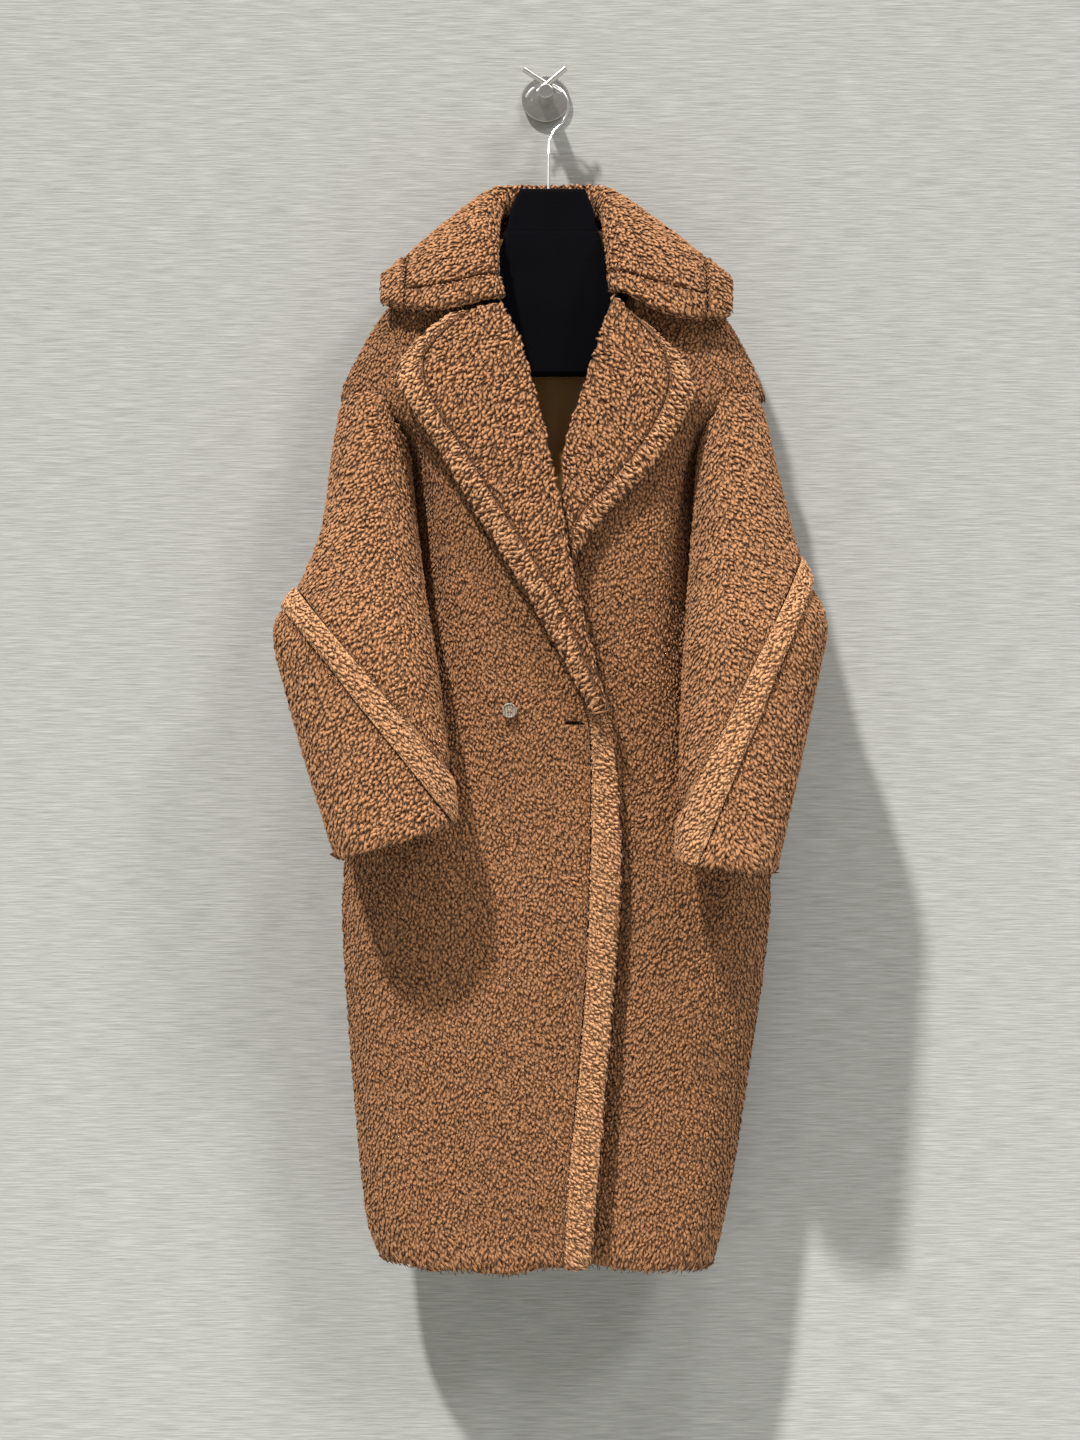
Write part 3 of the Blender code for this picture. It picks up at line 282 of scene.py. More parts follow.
def rounded(bm, name, levels=2):
    """The mesh with its faces subdivided and rounded, smooth shaded."""
    mesh = bpy.data.meshes.new(name)
    bm.to_mesh(mesh)
    bm.free()
    draft = bpy.data.objects.new(name + "_draft", mesh)
    bpy.context.scene.collection.objects.link(draft)
    smoother = draft.modifiers.new("rounding", "SUBSURF")
    smoother.levels = levels
    smoother.render_levels = levels
    bpy.context.view_layer.update()
    graph = bpy.context.evaluated_depsgraph_get()
    made = bpy.data.meshes.new_from_object(draft.evaluated_get(graph))
    made.name = name
    if "custom_normal" in made.attributes:
        made.attributes.remove(made.attributes["custom_normal"])
    made.shade_smooth()
    bpy.data.objects.remove(draft, do_unlink=True)
    return made


def places_of(mesh):
    """Every vertex's place, one row each."""
    places = np.zeros(len(mesh.vertices) * 3, np.float32)
    mesh.vertices.foreach_get("co", places)
    return places.reshape(-1, 3)


def put_places(mesh, places):
    """Moves every vertex to its new place."""
    mesh.vertices.foreach_set("co", places.astype(np.float32).ravel())
    mesh.update()


satin, tree, shader = new_finish("satin", 0.32)
shader.inputs["Specular IOR Level"].default_value = 0.45
shader.inputs["Sheen Weight"].default_value = 0.15
shader.inputs["Sheen Tint"].default_value = SATIN_SHEEN
place = add_node(tree, "ShaderNodeTexCoord")
weave_place = add_node(tree, "ShaderNodeMapping", {"Scale": (2600.0, 1.0, 700.0)})
weave = add_node(tree, "ShaderNodeTexNoise", {"Scale": 1.0, "Detail": 2.0})
slubs = add_node(tree, "ShaderNodeTexNoise", {"Scale": 35.0, "Detail": 3.0})
shades = add_node(tree, "ShaderNodeMix", {"A": SATIN_DARK, "B": SATIN_LIGHT}, data_type="RGBA")
relief = add_node(tree, "ShaderNodeBump", {"Strength": 0.12, "Distance": 0.0003})
wire(
    tree,
    (place, "Object", weave_place, "Vector"),
    (weave_place, "Vector", weave, "Vector"),
    (place, "Object", slubs, "Vector"),
    (slubs, "Fac", shades, "Factor"),
    (shades, "Result", shader, "Base Color"),
    (weave, "Fac", relief, "Height"),
    (relief, "Normal", shader, "Normal"),
)

lining_mesh = rounded(merged_copy("lining_back"), "lining")
places = places_of(lining_mesh)
for x, depth, width in LINING_FOLDS:
    fold = x + FOLD_LEAN * (places[:, 2] - FOLD_MIDDLE)
    places[:, 1] -= depth * np.exp(-(((places[:, 0] - fold) / width) ** 2))
put_places(lining_mesh, places)
lining = new_piece("lining", lining_mesh, satin, "lining", ["lining_back"])

# ---- Curls of pile ----
# The pile is short worm-like curls of tan acrylic, rooted in a knitted backing and lying down with the nap.
# A few curl shapes are made here and set over each panel's backing by the thousand.
CURL_SHAPES = (
    # length, width, bend sideways, wave, lift
    (0.0096, 0.0029, 0.0011, 0.0004, 0.0014),
    (0.0084, 0.0031, -0.0013, 0.0000, 0.0016),
    (0.0104, 0.0028, 0.0004, 0.0011, 0.0013),
    (0.0076, 0.0032, -0.0009, -0.0003, 0.0017),
    (0.0100, 0.0029, -0.0003, -0.0011, 0.0014),
    (0.0089, 0.0030, 0.0017, 0.0002, 0.0015),
)
CURL_FLOOR = -0.0004
CURL_ROOT_WIDTH = 0.75
CURL_ENDS_DROOP = 0.8


def curl_shape(name, length, width, bend, wave, lift):
    """One curl along +Y with its root at -Y: a bent three-sided bar, widest halfway, its tip pointed."""
    bm = bmesh.new()
    bmesh.ops.create_cone(bm, cap_ends=True, segments=3, radius1=width / 2, radius2=0.0, depth=length)
    bars = [edge for edge in bm.edges if abs(edge.verts[0].co.z - edge.verts[1].co.z) > length / 2]
    bmesh.ops.subdivide_edges(bm, edges=bars, cuts=1)
    bmesh.ops.rotate(bm, matrix=Matrix.Rotation(math.radians(-90), 3, "X"), verts=bm.verts)
    for vertex in bm.verts:
        along = vertex.co.y / (length / 2)
        # The middle of a cone is half as wide as its foot.
        girth = CURL_ROOT_WIDTH if along < -0.5 else 2.0
        vertex.co.x = vertex.co.x * girth + bend * (1 - along * along) + wave * along
        vertex.co.z = vertex.co.z * girth + lift * (1 - CURL_ENDS_DROOP * along * along) + CURL_FLOOR
    bmesh.ops.recalc_face_normals(bm, faces=bm.faces[:])
    # Each corner's height in the curl, from which its painted shade is worked out.
    rise = bm.verts.layers.float.new("rise")
    for vertex in bm.verts:
        vertex[rise] = min(max(vertex.co.z / (lift + width / 2), 0.0), 1.0)
    mesh = bpy.data.meshes.new(name)
    bm.to_mesh(mesh)
    bm.free()
    mesh.shade_smooth()
    return bpy.data.objects.new(name, mesh)


curl_shapes = bpy.data.collections.new("curl_shapes")
bpy.context.scene.collection.children.link(curl_shapes)
for number, sizes in enumerate(CURL_SHAPES):
    curl_shapes.objects.link(curl_shape(f"curl_{number}", *sizes))

# The grower scatters curls over a backing, each laid along its nap and turned and tilted a little.
TURN_LEAST = (-0.10, -0.35, -0.50)
TURN_MOST = (0.32, 0.35, 0.50)
SIZE_LEAST = 0.80
SIZE_MOST = 1.18
# Curls are shorter this near a seam, down to this share.
SHORT_FROM = 0.0024
SHORT_TO = 0.0075
SHORT_SHARE = 0.62

grower = bpy.data.node_groups.new("pile_grower", "GeometryNodeTree")
grower.is_modifier = True
for socket, kind in (
    ("Backing", "NodeSocketGeometry"),
    ("Spacing", "NodeSocketFloat"),
    ("Size", "NodeSocketFloat"),
    ("Swirl", "NodeSocketFloat"),
    ("Seed", "NodeSocketInt"),
    ("Neighbours", "NodeSocketObject"),
    ("Seam", "NodeSocketFloat"),
):
    grower.interface.new_socket(socket, in_out="INPUT", socket_type=kind)
grower.interface.new_socket("Pile", in_out="OUTPUT", socket_type="NodeSocketGeometry")
given = grower.nodes.new("NodeGroupInput")
put_out = grower.nodes.new("NodeGroupOutput")
scatter = add_node(
    grower, "GeometryNodeDistributePointsOnFaces", {"Density Max": 150000.0}, distribute_method="POISSON"
)
beside = add_node(grower, "GeometryNodeObjectInfo")
seam_way = add_node(grower, "GeometryNodeProximity", target_element="FACES")
in_seam = add_node(grower, "FunctionNodeCompare", data_type="FLOAT", operation="LESS_THAN")
parted = add_node(grower, "GeometryNodeDeleteGeometry", domain="POINT")
share = add_node(grower, "GeometryNodeInputNamedAttribute", {"Name": "grow"}, data_type="FLOAT")
nap = add_node(grower, "GeometryNodeInputNamedAttribute", {"Name": "nap"}, data_type="FLOAT_VECTOR")
shag = add_node(grower, "GeometryNodeInputNamedAttribute", {"Name": "shag"}, data_type="FLOAT")
spot = add_node(grower, "GeometryNodeInputPosition")
swirls = add_node(grower, "ShaderNodeTexNoise", {"Scale": 26.0, "Detail": 1.5})
centred = add_node(grower, "ShaderNodeVectorMath", {1: (0.5, 0.5, 0.5)}, operation="SUBTRACT")
swirled = add_node(grower, "ShaderNodeVectorMath", operation="SCALE")
flow = add_node(grower, "ShaderNodeVectorMath", operation="ADD")
upright = add_node(grower, "FunctionNodeAlignRotationToVector", axis="Z")
laid = add_node(grower, "FunctionNodeAlignRotationToVector", axis="Y", pivot_axis="Z")
turn = add_node(
    grower, "FunctionNodeRandomValue", {"Min": TURN_LEAST, "Max": TURN_MOST}, data_type="FLOAT_VECTOR"
)
turned = add_node(grower, "FunctionNodeEulerToRotation")
placed = add_node(grower, "FunctionNodeRotateRotation", rotation_space="LOCAL")
shapes = add_node(
    grower,
    "GeometryNodeCollectionInfo",
    {"Collection": curl_shapes, "Separate Children": True, "Reset Children": True},
)
pick = add_node(grower, "FunctionNodeRandomValue", {"Min": 0, "Max": len(CURL_SHAPES) - 1}, data_type="INT")
grown_size = add_node(
    grower, "FunctionNodeRandomValue", {"Min": SIZE_LEAST, "Max": SIZE_MOST}, data_type="FLOAT"
)
sized = add_node(grower, "ShaderNodeMath", operation="MULTIPLY")
long_size = add_node(grower, "ShaderNodeMath", operation="MULTIPLY")
short_by_seam = add_node(
    grower, "ShaderNodeMapRange", {"From Min": SHORT_FROM, "From Max": SHORT_TO, "To Min": SHORT_SHARE}
)
in_place = add_node(grower, "ShaderNodeMath", operation="MULTIPLY")
scale = add_node(grower, "ShaderNodeCombineXYZ")
plant = add_node(grower, "GeometryNodeInstanceOnPoints", {"Pick Instance": True})
tone = add_node(grower, "FunctionNodeRandomValue", data_type="FLOAT")
toned = add_node(
    grower, "GeometryNodeStoreNamedAttribute", {"Name": "tone"}, data_type="FLOAT", domain="INSTANCE"
)
joined = grower.nodes.new("GeometryNodeRealizeInstances")
wire(
    grower,
    (given, "Backing", scatter, "Mesh"),
    (given, "Spacing", scatter, "Distance Min"),
    (given, "Seed", scatter, "Seed"),
    (share, None, scatter, "Density Factor"),
    (spot, "Position", swirls, "Vector"),
    (swirls, "Color", centred, 0),
    (centred, "Vector", swirled, 0),
    (given, "Swirl", swirled, "Scale"),
    (nap, None, flow, 0),
    (swirled, "Vector", flow, 1),
    (scatter, "Normal", upright, "Vector"),
    (upright, "Rotation", laid, "Rotation"),
    (flow, "Vector", laid, "Vector"),
    (turn, None, turned, "Euler"),
    (laid, "Rotation", placed, "Rotation"),
    (turned, "Rotation", placed, "Rotate By"),
    (seam_way, "Distance", short_by_seam, "Value"),
    (given, "Size", in_place, 0),
    (short_by_seam, "Result", in_place, 1),
    (in_place, "Value", sized, 0),
    (grown_size, None, sized, 1),
    (sized, "Value", long_size, 0),
    (shag, None, long_size, 1),
    (sized, "Value", scale, "X"),
    (long_size, "Value", scale, "Y"),
    (sized, "Value", scale, "Z"),
    (given, "Neighbours", beside, "Object"),
    (beside, "Geometry", seam_way, "Target"),
    (seam_way, "Distance", in_seam, "A"),
    (given, "Seam", in_seam, "B"),
    (scatter, "Points", parted, "Geometry"),
    (in_seam, "Result", parted, "Selection"),
    (parted, "Geometry", plant, "Points"),
    (shapes, "Instances", plant, "Instance"),
    (pick, None, plant, "Instance Index"),
    (placed, "Rotation", plant, "Rotation"),
    (scale, "Vector", plant, "Scale"),
    (plant, "Instances", toned, "Geometry"),
    (tone, None, toned, "Value"),
    (toned, "Geometry", joined, "Geometry"),
    (joined, "Geometry", put_out, "Pile"),
)

# The colour of a curl: its own shade of tan at its tip, darkened towards its root by painted shade, low in
# the pile where the curls shade each other; in soft patches, with fine fibres.
pile_colour_and_painted_shade, given, put_out = new_group(
    "pile_colour_and_painted_shade",
    [
        ("Root", "NodeSocketColor", (0.1, 0.05, 0.02, 1.0)),
        ("Tip", "NodeSocketColor", (0.4, 0.2, 0.1, 1.0)),
        ("Spread", "NodeSocketFloat", 0.3),
    ],
    [("Color", "NodeSocketColor"), ("Height", "NodeSocketFloat")],
)
place = add_node(pile_colour_and_painted_shade, "ShaderNodeTexCoord")
rise = add_node(pile_colour_and_painted_shade, "ShaderNodeAttribute", attribute_name="rise")
tone = add_node(pile_colour_and_painted_shade, "ShaderNodeAttribute", attribute_name="tone")
patches = add_node(pile_colour_and_painted_shade, "ShaderNodeTexNoise", {"Scale": 14.0, "Detail": 2.0})
fibres = add_node(pile_colour_and_painted_shade, "ShaderNodeTexNoise", {"Scale": 1600.0, "Detail": 2.0})
# Painted shade: each curl darkens by its height in the pile, from two thirds of its height down to its root.
painted_shade_by_rise = add_node(
    pile_colour_and_painted_shade, "ShaderNodeMapRange", {"From Min": 0.12, "From Max": 0.66}, interpolation_type="SMOOTHSTEP"
)
body = add_node(pile_colour_and_painted_shade, "ShaderNodeMix", data_type="RGBA")
both = add_node(pile_colour_and_painted_shade, "ShaderNodeMath", operation="ADD")
offset = add_node(pile_colour_and_painted_shade, "ShaderNodeMath", {1: 1.0}, operation="SUBTRACT")
amount = add_node(pile_colour_and_painted_shade, "ShaderNodeMath", operation="MULTIPLY")
light = add_node(pile_colour_and_painted_shade, "ShaderNodeMath", {1: 1.0}, operation="ADD")
tinted = add_node(pile_colour_and_painted_shade, "ShaderNodeHueSaturation")
wire(
    pile_colour_and_painted_shade,
    (rise, "Fac", painted_shade_by_rise, "Value"),
    (painted_shade_by_rise, "Result", body, "Factor"),
    (given, "Root", body, "A"),
    (given, "Tip", body, "B"),
    (place, "Object", patches, "Vector"),
    (place, "Object", fibres, "Vector"),
    (tone, "Fac", both, 0),
    (patches, "Fac", both, 1),
    (both, "Value", offset, 0),
    (offset, "Value", amount, 0),
    (given, "Spread", amount, 1),
    (amount, "Value", light, 0),
    (light, "Value", tinted, "Value"),
    (body, "Result", tinted, "Color"),
    (tinted, "Color", put_out, "Color"),
    (fibres, "Fac", put_out, "Height"),
)

PILE_SHEEN_TINT = (1.0, 0.80, 0.62, 1.0)
PILE_SPREAD = 0.28


def pile_finish(name, root, tip):
    """The pile's finish in one shade of tan, with painted shade towards each curl's root."""
    finish, tree, shader = new_finish(name, 0.85)
    shader.inputs["Specular IOR Level"].default_value = 0.20
    shader.inputs["Sheen Weight"].default_value = 0.12
    shader.inputs["Sheen Roughness"].default_value = 0.5
    shader.inputs["Sheen Tint"].default_value = PILE_SHEEN_TINT
    shade = add_node(tree, "ShaderNodeGroup", node_tree=pile_colour_and_painted_shade)
    shade.inputs["Root"].default_value = root
    shade.inputs["Tip"].default_value = tip
    shade.inputs["Spread"].default_value = PILE_SPREAD
    relief = add_node(tree, "ShaderNodeBump", {"Strength": 0.35, "Distance": 0.0006})
    wire(
        tree,
        (shade, "Color", shader, "Base Color"),
        (shade, "Height", relief, "Height"),
        (relief, "Normal", shader, "Normal"),
    )
    return finish


# The roots' colours are painted shade, low in the pile where the curls shade each other.
TAN_ROOT_PAINTED_SHADE = (0.062, 0.022, 0.008, 1.0)
TAN_TIP = (0.455, 0.218, 0.101, 1.0)
# The lighter pile of the sleeves, lapels and collar is painted light: the same tan cloth as the body's,
# painted lighter.
LIGHT_ROOT_PAINTED_SHADE = (0.078, 0.030, 0.011, 1.0)
PAINTED_LIGHT_TIP = (0.540, 0.264, 0.124, 1.0)
# The bands' pile is painted light as well: the same cloth again, painted lighter still, for the light that
# its sideways pile catches.
BAND_ROOT_PAINTED_SHADE = (0.190, 0.085, 0.036, 1.0)
BAND_PAINTED_LIGHT_TIP = (0.710, 0.378, 0.192, 1.0)
tan_pile = pile_finish("tan_pile", TAN_ROOT_PAINTED_SHADE, TAN_TIP)
light_pile = pile_finish("painted_light_tan_pile", LIGHT_ROOT_PAINTED_SHADE, PAINTED_LIGHT_TIP)
band_pile = pile_finish("band_pile", BAND_ROOT_PAINTED_SHADE, BAND_PAINTED_LIGHT_TIP)

# The bed is the short under-pile between the curls, with winding partings darkened by painted shade. Its
# inside is brown knit.
KNIT_DARK = (0.050, 0.021, 0.011, 1.0)
KNIT_LIGHT = (0.095, 0.042, 0.022, 1.0)


def bed_finish(name, root, tip):
    """The bed's finish in one shade of tan, with painted shade in its winding partings."""
    finish, tree, shader = new_finish(name, 0.92)
    shader.inputs["Specular IOR Level"].default_value = 0.15
    shader.inputs["Sheen Weight"].default_value = 0.2
    shader.inputs["Sheen Roughness"].default_value = 0.5
    shader.inputs["Sheen Tint"].default_value = PILE_SHEEN_TINT
    place = add_node(tree, "ShaderNodeTexCoord")
    lying = add_node(tree, "ShaderNodeMapping", {"Scale": (1.0, 1.0, 0.55)})
    winding = add_node(tree, "ShaderNodeTexNoise", {"Scale": 300.0, "Detail": 1.0, "Distortion": 0.6})
    centred = add_node(tree, "ShaderNodeMath", {1: 0.5}, operation="SUBTRACT")
    apart = add_node(tree, "ShaderNodeMath", operation="ABSOLUTE")
    # Painted shade in the winding partings, which also sink them in the bump.
    shade_partings = add_node(
        tree, "ShaderNodeMapRange", {"From Min": 0.0, "From Max": 0.09}, interpolation_type="SMOOTHSTEP"
    )
    outside = add_node(tree, "ShaderNodeAttribute", attribute_name="outside")
    bed_painted_shade = add_node(tree, "ShaderNodeMix", {"A": root, "B": tip}, data_type="RGBA")
    knit = add_node(tree, "ShaderNodeTexVoronoi", {"Scale": 520.0})
    knit_shades = add_node(tree, "ShaderNodeMix", {"A": KNIT_DARK, "B": KNIT_LIGHT}, data_type="RGBA")
    sides = add_node(tree, "ShaderNodeMix", data_type="RGBA")
    relief = add_node(tree, "ShaderNodeBump", {"Strength": 0.8, "Distance": 0.0018})
    wire(
        tree,
        (place, "Object", lying, "Vector"),
        (lying, "Vector", winding, "Vector"),
        (winding, "Fac", centred, 0),
        (centred, "Value", apart, 0),
        (apart, "Value", shade_partings, "Value"),
        (shade_partings, "Result", bed_painted_shade, "Factor"),
        (place, "Object", knit, "Vector"),
        (knit, "Distance", knit_shades, "Factor"),
        (outside, "Fac", sides, "Factor"),
        (knit_shades, "Result", sides, "A"),
        (bed_painted_shade, "Result", sides, "B"),
        (sides, "Result", shader, "Base Color"),
        (shade_partings, "Result", relief, "Height"),
        (relief, "Normal", shader, "Normal"),
    )
    return finish


tan_bed_painted_partings = bed_finish("tan_bed_painted_partings", (0.042, 0.016, 0.006, 1.0), (0.430, 0.205, 0.092, 1.0))
# The band's bed is painted light, a lighter copy of the tan bed.
band_bed_painted_light_and_partings = bed_finish("band_bed_painted_light_and_partings", (0.160, 0.070, 0.028, 1.0), (0.660, 0.345, 0.168, 1.0))
# The darkest bed is painted shade: a darker copy that deepens the gaps between the curls of the lapels and
# collar, and along their seams.
painted_shade_bed = bed_finish("painted_shade_bed", (0.040, 0.015, 0.006, 1.0), (0.260, 0.118, 0.052, 1.0))

# How far the backing lies below the CAD wall's outer side, so that the pile stands up to it.
PILE_DEPTH = 0.0032
# Half the width of the parting in the pile along a seam.
SEAM_WIDTH = 0.0018
# Lowest and highest share of the outer side at which curls still grow, so that they thin out over an edge.
PILE_EDGE = (0.55, 0.80)
# A face looks out of the piece when it leans this far that way, or more.
LOOKS_OUT = 0.25
# The share of a crease's length over which it fades in and out.
CREASE_FADE = 0.3


def step_between(values, low, high):
    """0 at low or before, 1 at high or after, and a soft rise between."""
    share = np.clip((values - low) / (high - low), 0.0, 1.0)
    return share * share * (3 - 2 * share)


def pile_backing(node, name, away, seams, pile_depth=PILE_DEPTH, both_sides=False):
    """The backing of one piece: its CAD wall, with the pile's depth taken off the outer side."""
    bm = merged_copy(node, seams)
    bm.normal_update()
    outside = bm.verts.layers.float.new("outside")
    moves = {}
    for vertex in bm.verts:
        out = away(vertex.co)
        facing = [face for face in vertex.link_faces if both_sides or face.normal.dot(out) > LOOKS_OUT]
        vertex[outside] = 1.0 if both_sides or vertex.normal.dot(out) > 0 else 0.0
        if vertex[outside] and facing:
            mean = sum((face.normal * face.calc_area() for face in facing), Vector())
            moves[vertex] = mean.normalized() * pile_depth
    for vertex, move in moves.items():
        vertex.co -= move
    return rounded(bm, name)


def crease(mesh, away, creases):
    """Soft troughs and ridges, listed one by one: each runs from one place to another and fades at both
    ends.
    """
    places = places_of(mesh)
    outs = np.array([away(Vector(place)) for place in places])
    moved = np.zeros(len(places))
    for x1, z1, x2, z2, depth, width, side in creases:
        start, way = np.array((x1, z1)), np.array((x2 - x1, z2 - z1))
        length = np.hypot(*way)
        flat = places[:, [0, 2]] - start
        along = flat @ way / length**2
        across = (flat[:, 0] * way[1] - flat[:, 1] * way[0]) / length
        fade = step_between(along, 0.0, CREASE_FADE) * (1 - step_between(along, 1.0 - CREASE_FADE, 1.0))
        facing = outs[:, 1] * side > 0.0
        moved += depth * fade * facing * np.exp(-((across / width) ** 2))
    put_places(mesh, places + outs * moved[:, None])


def store(mesh, name, values):
    """Numbers or ways kept on the mesh's vertices, for the grower to read."""
    if values.ndim == 1:
        made = mesh.attributes.new(name, "FLOAT", "POINT")
        made.data.foreach_set("value", values.astype(np.float32))
    else:
        made = mesh.attributes.new(name, "FLOAT_VECTOR", "POINT")
        made.data.foreach_set("vector", values.astype(np.float32).ravel())


def joined_nodes(nodes):
    """One object with the walls of several CAD pieces, to measure from."""
    bm = joined_walls(nodes)
    mesh = bpy.data.meshes.new("neighbours")
    bm.to_mesh(mesh)
    bm.free()
    return bpy.data.objects.new("neighbours", mesh)


def grow_pile(
    backing_mesh, name, finish, slot, spacing, nap, seed, seams, parting=SEAM_WIDTH,
    grow=None, shag=None, size=1.0, swirl=1.6,
):
    """The pile of one piece: curls over its backing's outer side, parted at its seams with others."""
    draft_mesh = backing_mesh.copy()
    places = places_of(draft_mesh)
    outside = np.zeros(len(places), np.float32)
    draft_mesh.attributes["outside"].data.foreach_get("value", outside)
    share = step_between(outside, *PILE_EDGE)
    if grow is not None:
        share = share * grow(places)
    store(draft_mesh, "grow", share)
    store(draft_mesh, "nap", nap(places))
    store(draft_mesh, "shag", np.ones(len(places)) if shag is None else shag(places))
    draft = bpy.data.objects.new(name + "_draft", draft_mesh)
    bpy.context.scene.collection.objects.link(draft)
    growing = draft.modifiers.new("growing", "NODES")
    growing.node_group = grower
    neighbours = joined_nodes(seams)
    settings = {
        "Spacing": spacing, "Size": size, "Swirl": swirl, "Seed": seed, "Neighbours": neighbours,
        "Seam": parting,
    }
    for item in grower.interface.items_tree:
        if item.name in settings:
            growing[item.identifier] = settings[item.name]
    bpy.context.view_layer.update()
    graph = bpy.context.evaluated_depsgraph_get()
    mesh = bpy.data.meshes.new_from_object(draft.evaluated_get(graph))
    mesh.name = name
    bpy.data.objects.remove(draft, do_unlink=True)
    bpy.data.objects.remove(neighbours, do_unlink=True)
    for spare in ("grow", "nap", "shag", "outside", "id"):
        if spare in mesh.attributes:
            mesh.attributes.remove(mesh.attributes[spare])
    return new_piece(name, mesh, finish, slot)


def flowing(x, y, z):
    """A nap that runs one way all over a piece."""
    return lambda places: np.tile(np.array((x, y, z)), (len(places), 1))


# ---- Back ----
# One wide panel of the tan pile, cut on the fold and joined to the fronts at the shoulders and sides.
# It hangs in a few soft folds, and its hem is left ragged by the longer pile.
BODY_AXIS = (0.008, -0.083)
BACK_CREASES = (
    # x and z at the start, x and z at the end, depth, width, side (-1 the front, 1 the back)
    (-0.120, -0.360, -0.060, -0.620, -0.004, 0.014, 1),
    (0.110, -0.350, 0.060, -0.600, -0.004, 0.014, 1),
    (0.045, -0.560, 0.052, -1.180, 0.004, 0.018, 1),
    (-0.050, -0.640, -0.058, -1.200, 0.003, 0.015, 1),
)
# The back has fewer and larger curls, and its pile is in two pieces that meet between these heights.
BACK_SPACING = 0.0043
BACK_CURL_SIZE = 1.25
BACK_DIVIDE = (-0.70, -0.69)
# The pile closes over the side seams, but for a hair's breadth.
SIDE_PARTING = 0.0004
TUCK_HEIGHT = -0.430
TUCK_REACH = 0.065
TUCK_DEPTH = 0.014
TUCK_BEHIND = (-0.090, -0.035)
TUCK_OUTER = (0.080, 0.120)
HEM_SHAG = 0.7
HEM_SHAG_START = -1.165
HEM_END = -1.205
HEM_WAVES = (
    # height, waves a metre times two pi, start
    (0.0030, 31.0, 0.4),
    (0.0016, 88.0, 2.0),
)


def away_from_body(place):
    """The way out of the body from its middle line."""
    return Vector((place[0] - BODY_AXIS[0], place[1] - BODY_AXIS[1], 0.0)).normalized()


def hem_shag(places):
    """Longer pile towards the hem."""
    return 1.0 + HEM_SHAG * (1 - step_between(places[:, 2], HEM_END, HEM_SHAG_START))


def hang_hem(mesh):
    """The hem, let down unevenly by a few millimetres."""
    places = places_of(mesh)
    low = 1 - step_between(places[:, 2], HEM_END, HEM_SHAG_START)
    for depth, waves, start in HEM_WAVES:
        places[:, 2] += depth * low * np.sin(waves * places[:, 0] + start)
    put_places(mesh, places)


def tuck_behind_sleeves(mesh):
    """The body's sides, drawn out behind the sleeves, where the cloth hangs from the armholes' seams."""
    places = places_of(mesh)
    side = places[:, 0] - BODY_AXIS[0]
    low = np.exp(-(((places[:, 2] - TUCK_HEIGHT) / TUCK_REACH) ** 2))
    behind = step_between(places[:, 1], *TUCK_BEHIND)
    outer = step_between(np.abs(side), *TUCK_OUTER)
    places[:, 0] += np.sign(side) * TUCK_DEPTH * low * behind * outer
    put_places(mesh, places)


BACK_SEAMS = ("front_right", "front_left", "sleeve_right_upper", "sleeve_left_upper")
back_mesh = pile_backing("back_panel", "back_backing", away_from_body, BACK_SEAMS)
tuck_behind_sleeves(back_mesh)
hang_hem(back_mesh)
crease(back_mesh, away_from_body, BACK_CREASES)
back_upper = grow_pile(
    back_mesh, "back_pile_upper", tan_pile, "pile", BACK_SPACING, flowing(0.0, 0.0, -1.0), seed=11,
    seams=BACK_SEAMS, parting=SIDE_PARTING, size=BACK_CURL_SIZE,
    grow=lambda places: step_between(places[:, 2], *BACK_DIVIDE),
)
back_lower = grow_pile(
    back_mesh, "back_pile_lower", tan_pile, "pile", BACK_SPACING, flowing(0.0, 0.0, -1.0), seed=12,
    seams=BACK_SEAMS, parting=SIDE_PARTING, size=BACK_CURL_SIZE,
    grow=lambda places: 1 - step_between(places[:, 2], *BACK_DIVIDE), shag=hem_shag,
)
back = new_piece("back_backing", back_mesh, tan_bed_painted_partings, "pile", ["back_panel"])

# ---- Fronts ----
# Two panels of the same pile. The wearer's right front laps over the left one as far as its closing band.
# Each folds softly from the bust down, and the left one has a deeper fold where it comes out from under.
FRONT_SPACING = 0.0026
LAP_REACH = 0.012
LAP_FADE = 0.004
BUTTONHOLE_MIDDLE = (0.032, -0.656)
BUTTONHOLE_REACH = (0.015, 0.006)
BUTTONHOLE_FADE = (0.9, 1.0)
CLOSING_EDGE = (
    # height, x
    (-1.216, 0.044),
    (-1.016, 0.061),
    (-0.814, 0.0765),
    (-0.640, 0.065),
    (-0.551, 0.023),
    (-0.142, -0.070),
)
RIGHT_FRONT_CREASES = (
    (-0.060, -0.560, -0.110, -0.860, -0.003, 0.014, -1),
    (0.000, -0.700, -0.012, -1.080, 0.003, 0.018, -1),
    (-0.060, -0.780, -0.066, -1.190, 0.003, 0.013, -1),
    (-0.120, -0.920, -0.116, -1.200, -0.003, 0.012, -1),
)
# The second one is the trough beside the closing band, where this front comes out from under the other.
LEFT_FRONT_CREASES = (
    (0.100, -0.520, 0.120, -0.800, -0.003, 0.014, -1),
    (0.094, -0.620, 0.062, -1.560, -0.040, 0.024, -1),
    (0.150, -0.860, 0.160, -1.160, 0.003, 0.014, -1),
)


def clear_of_buttonhole(places):
    """No pile over the buttonhole."""
    x, z = BUTTONHOLE_MIDDLE
    off = np.hypot((places[:, 0] - x) / BUTTONHOLE_REACH[0], (places[:, 2] - z) / BUTTONHOLE_REACH[1])
    is_front = places[:, 1] < BODY_AXIS[1]
    return np.where(is_front, step_between(off, *BUTTONHOLE_FADE), 1.0)


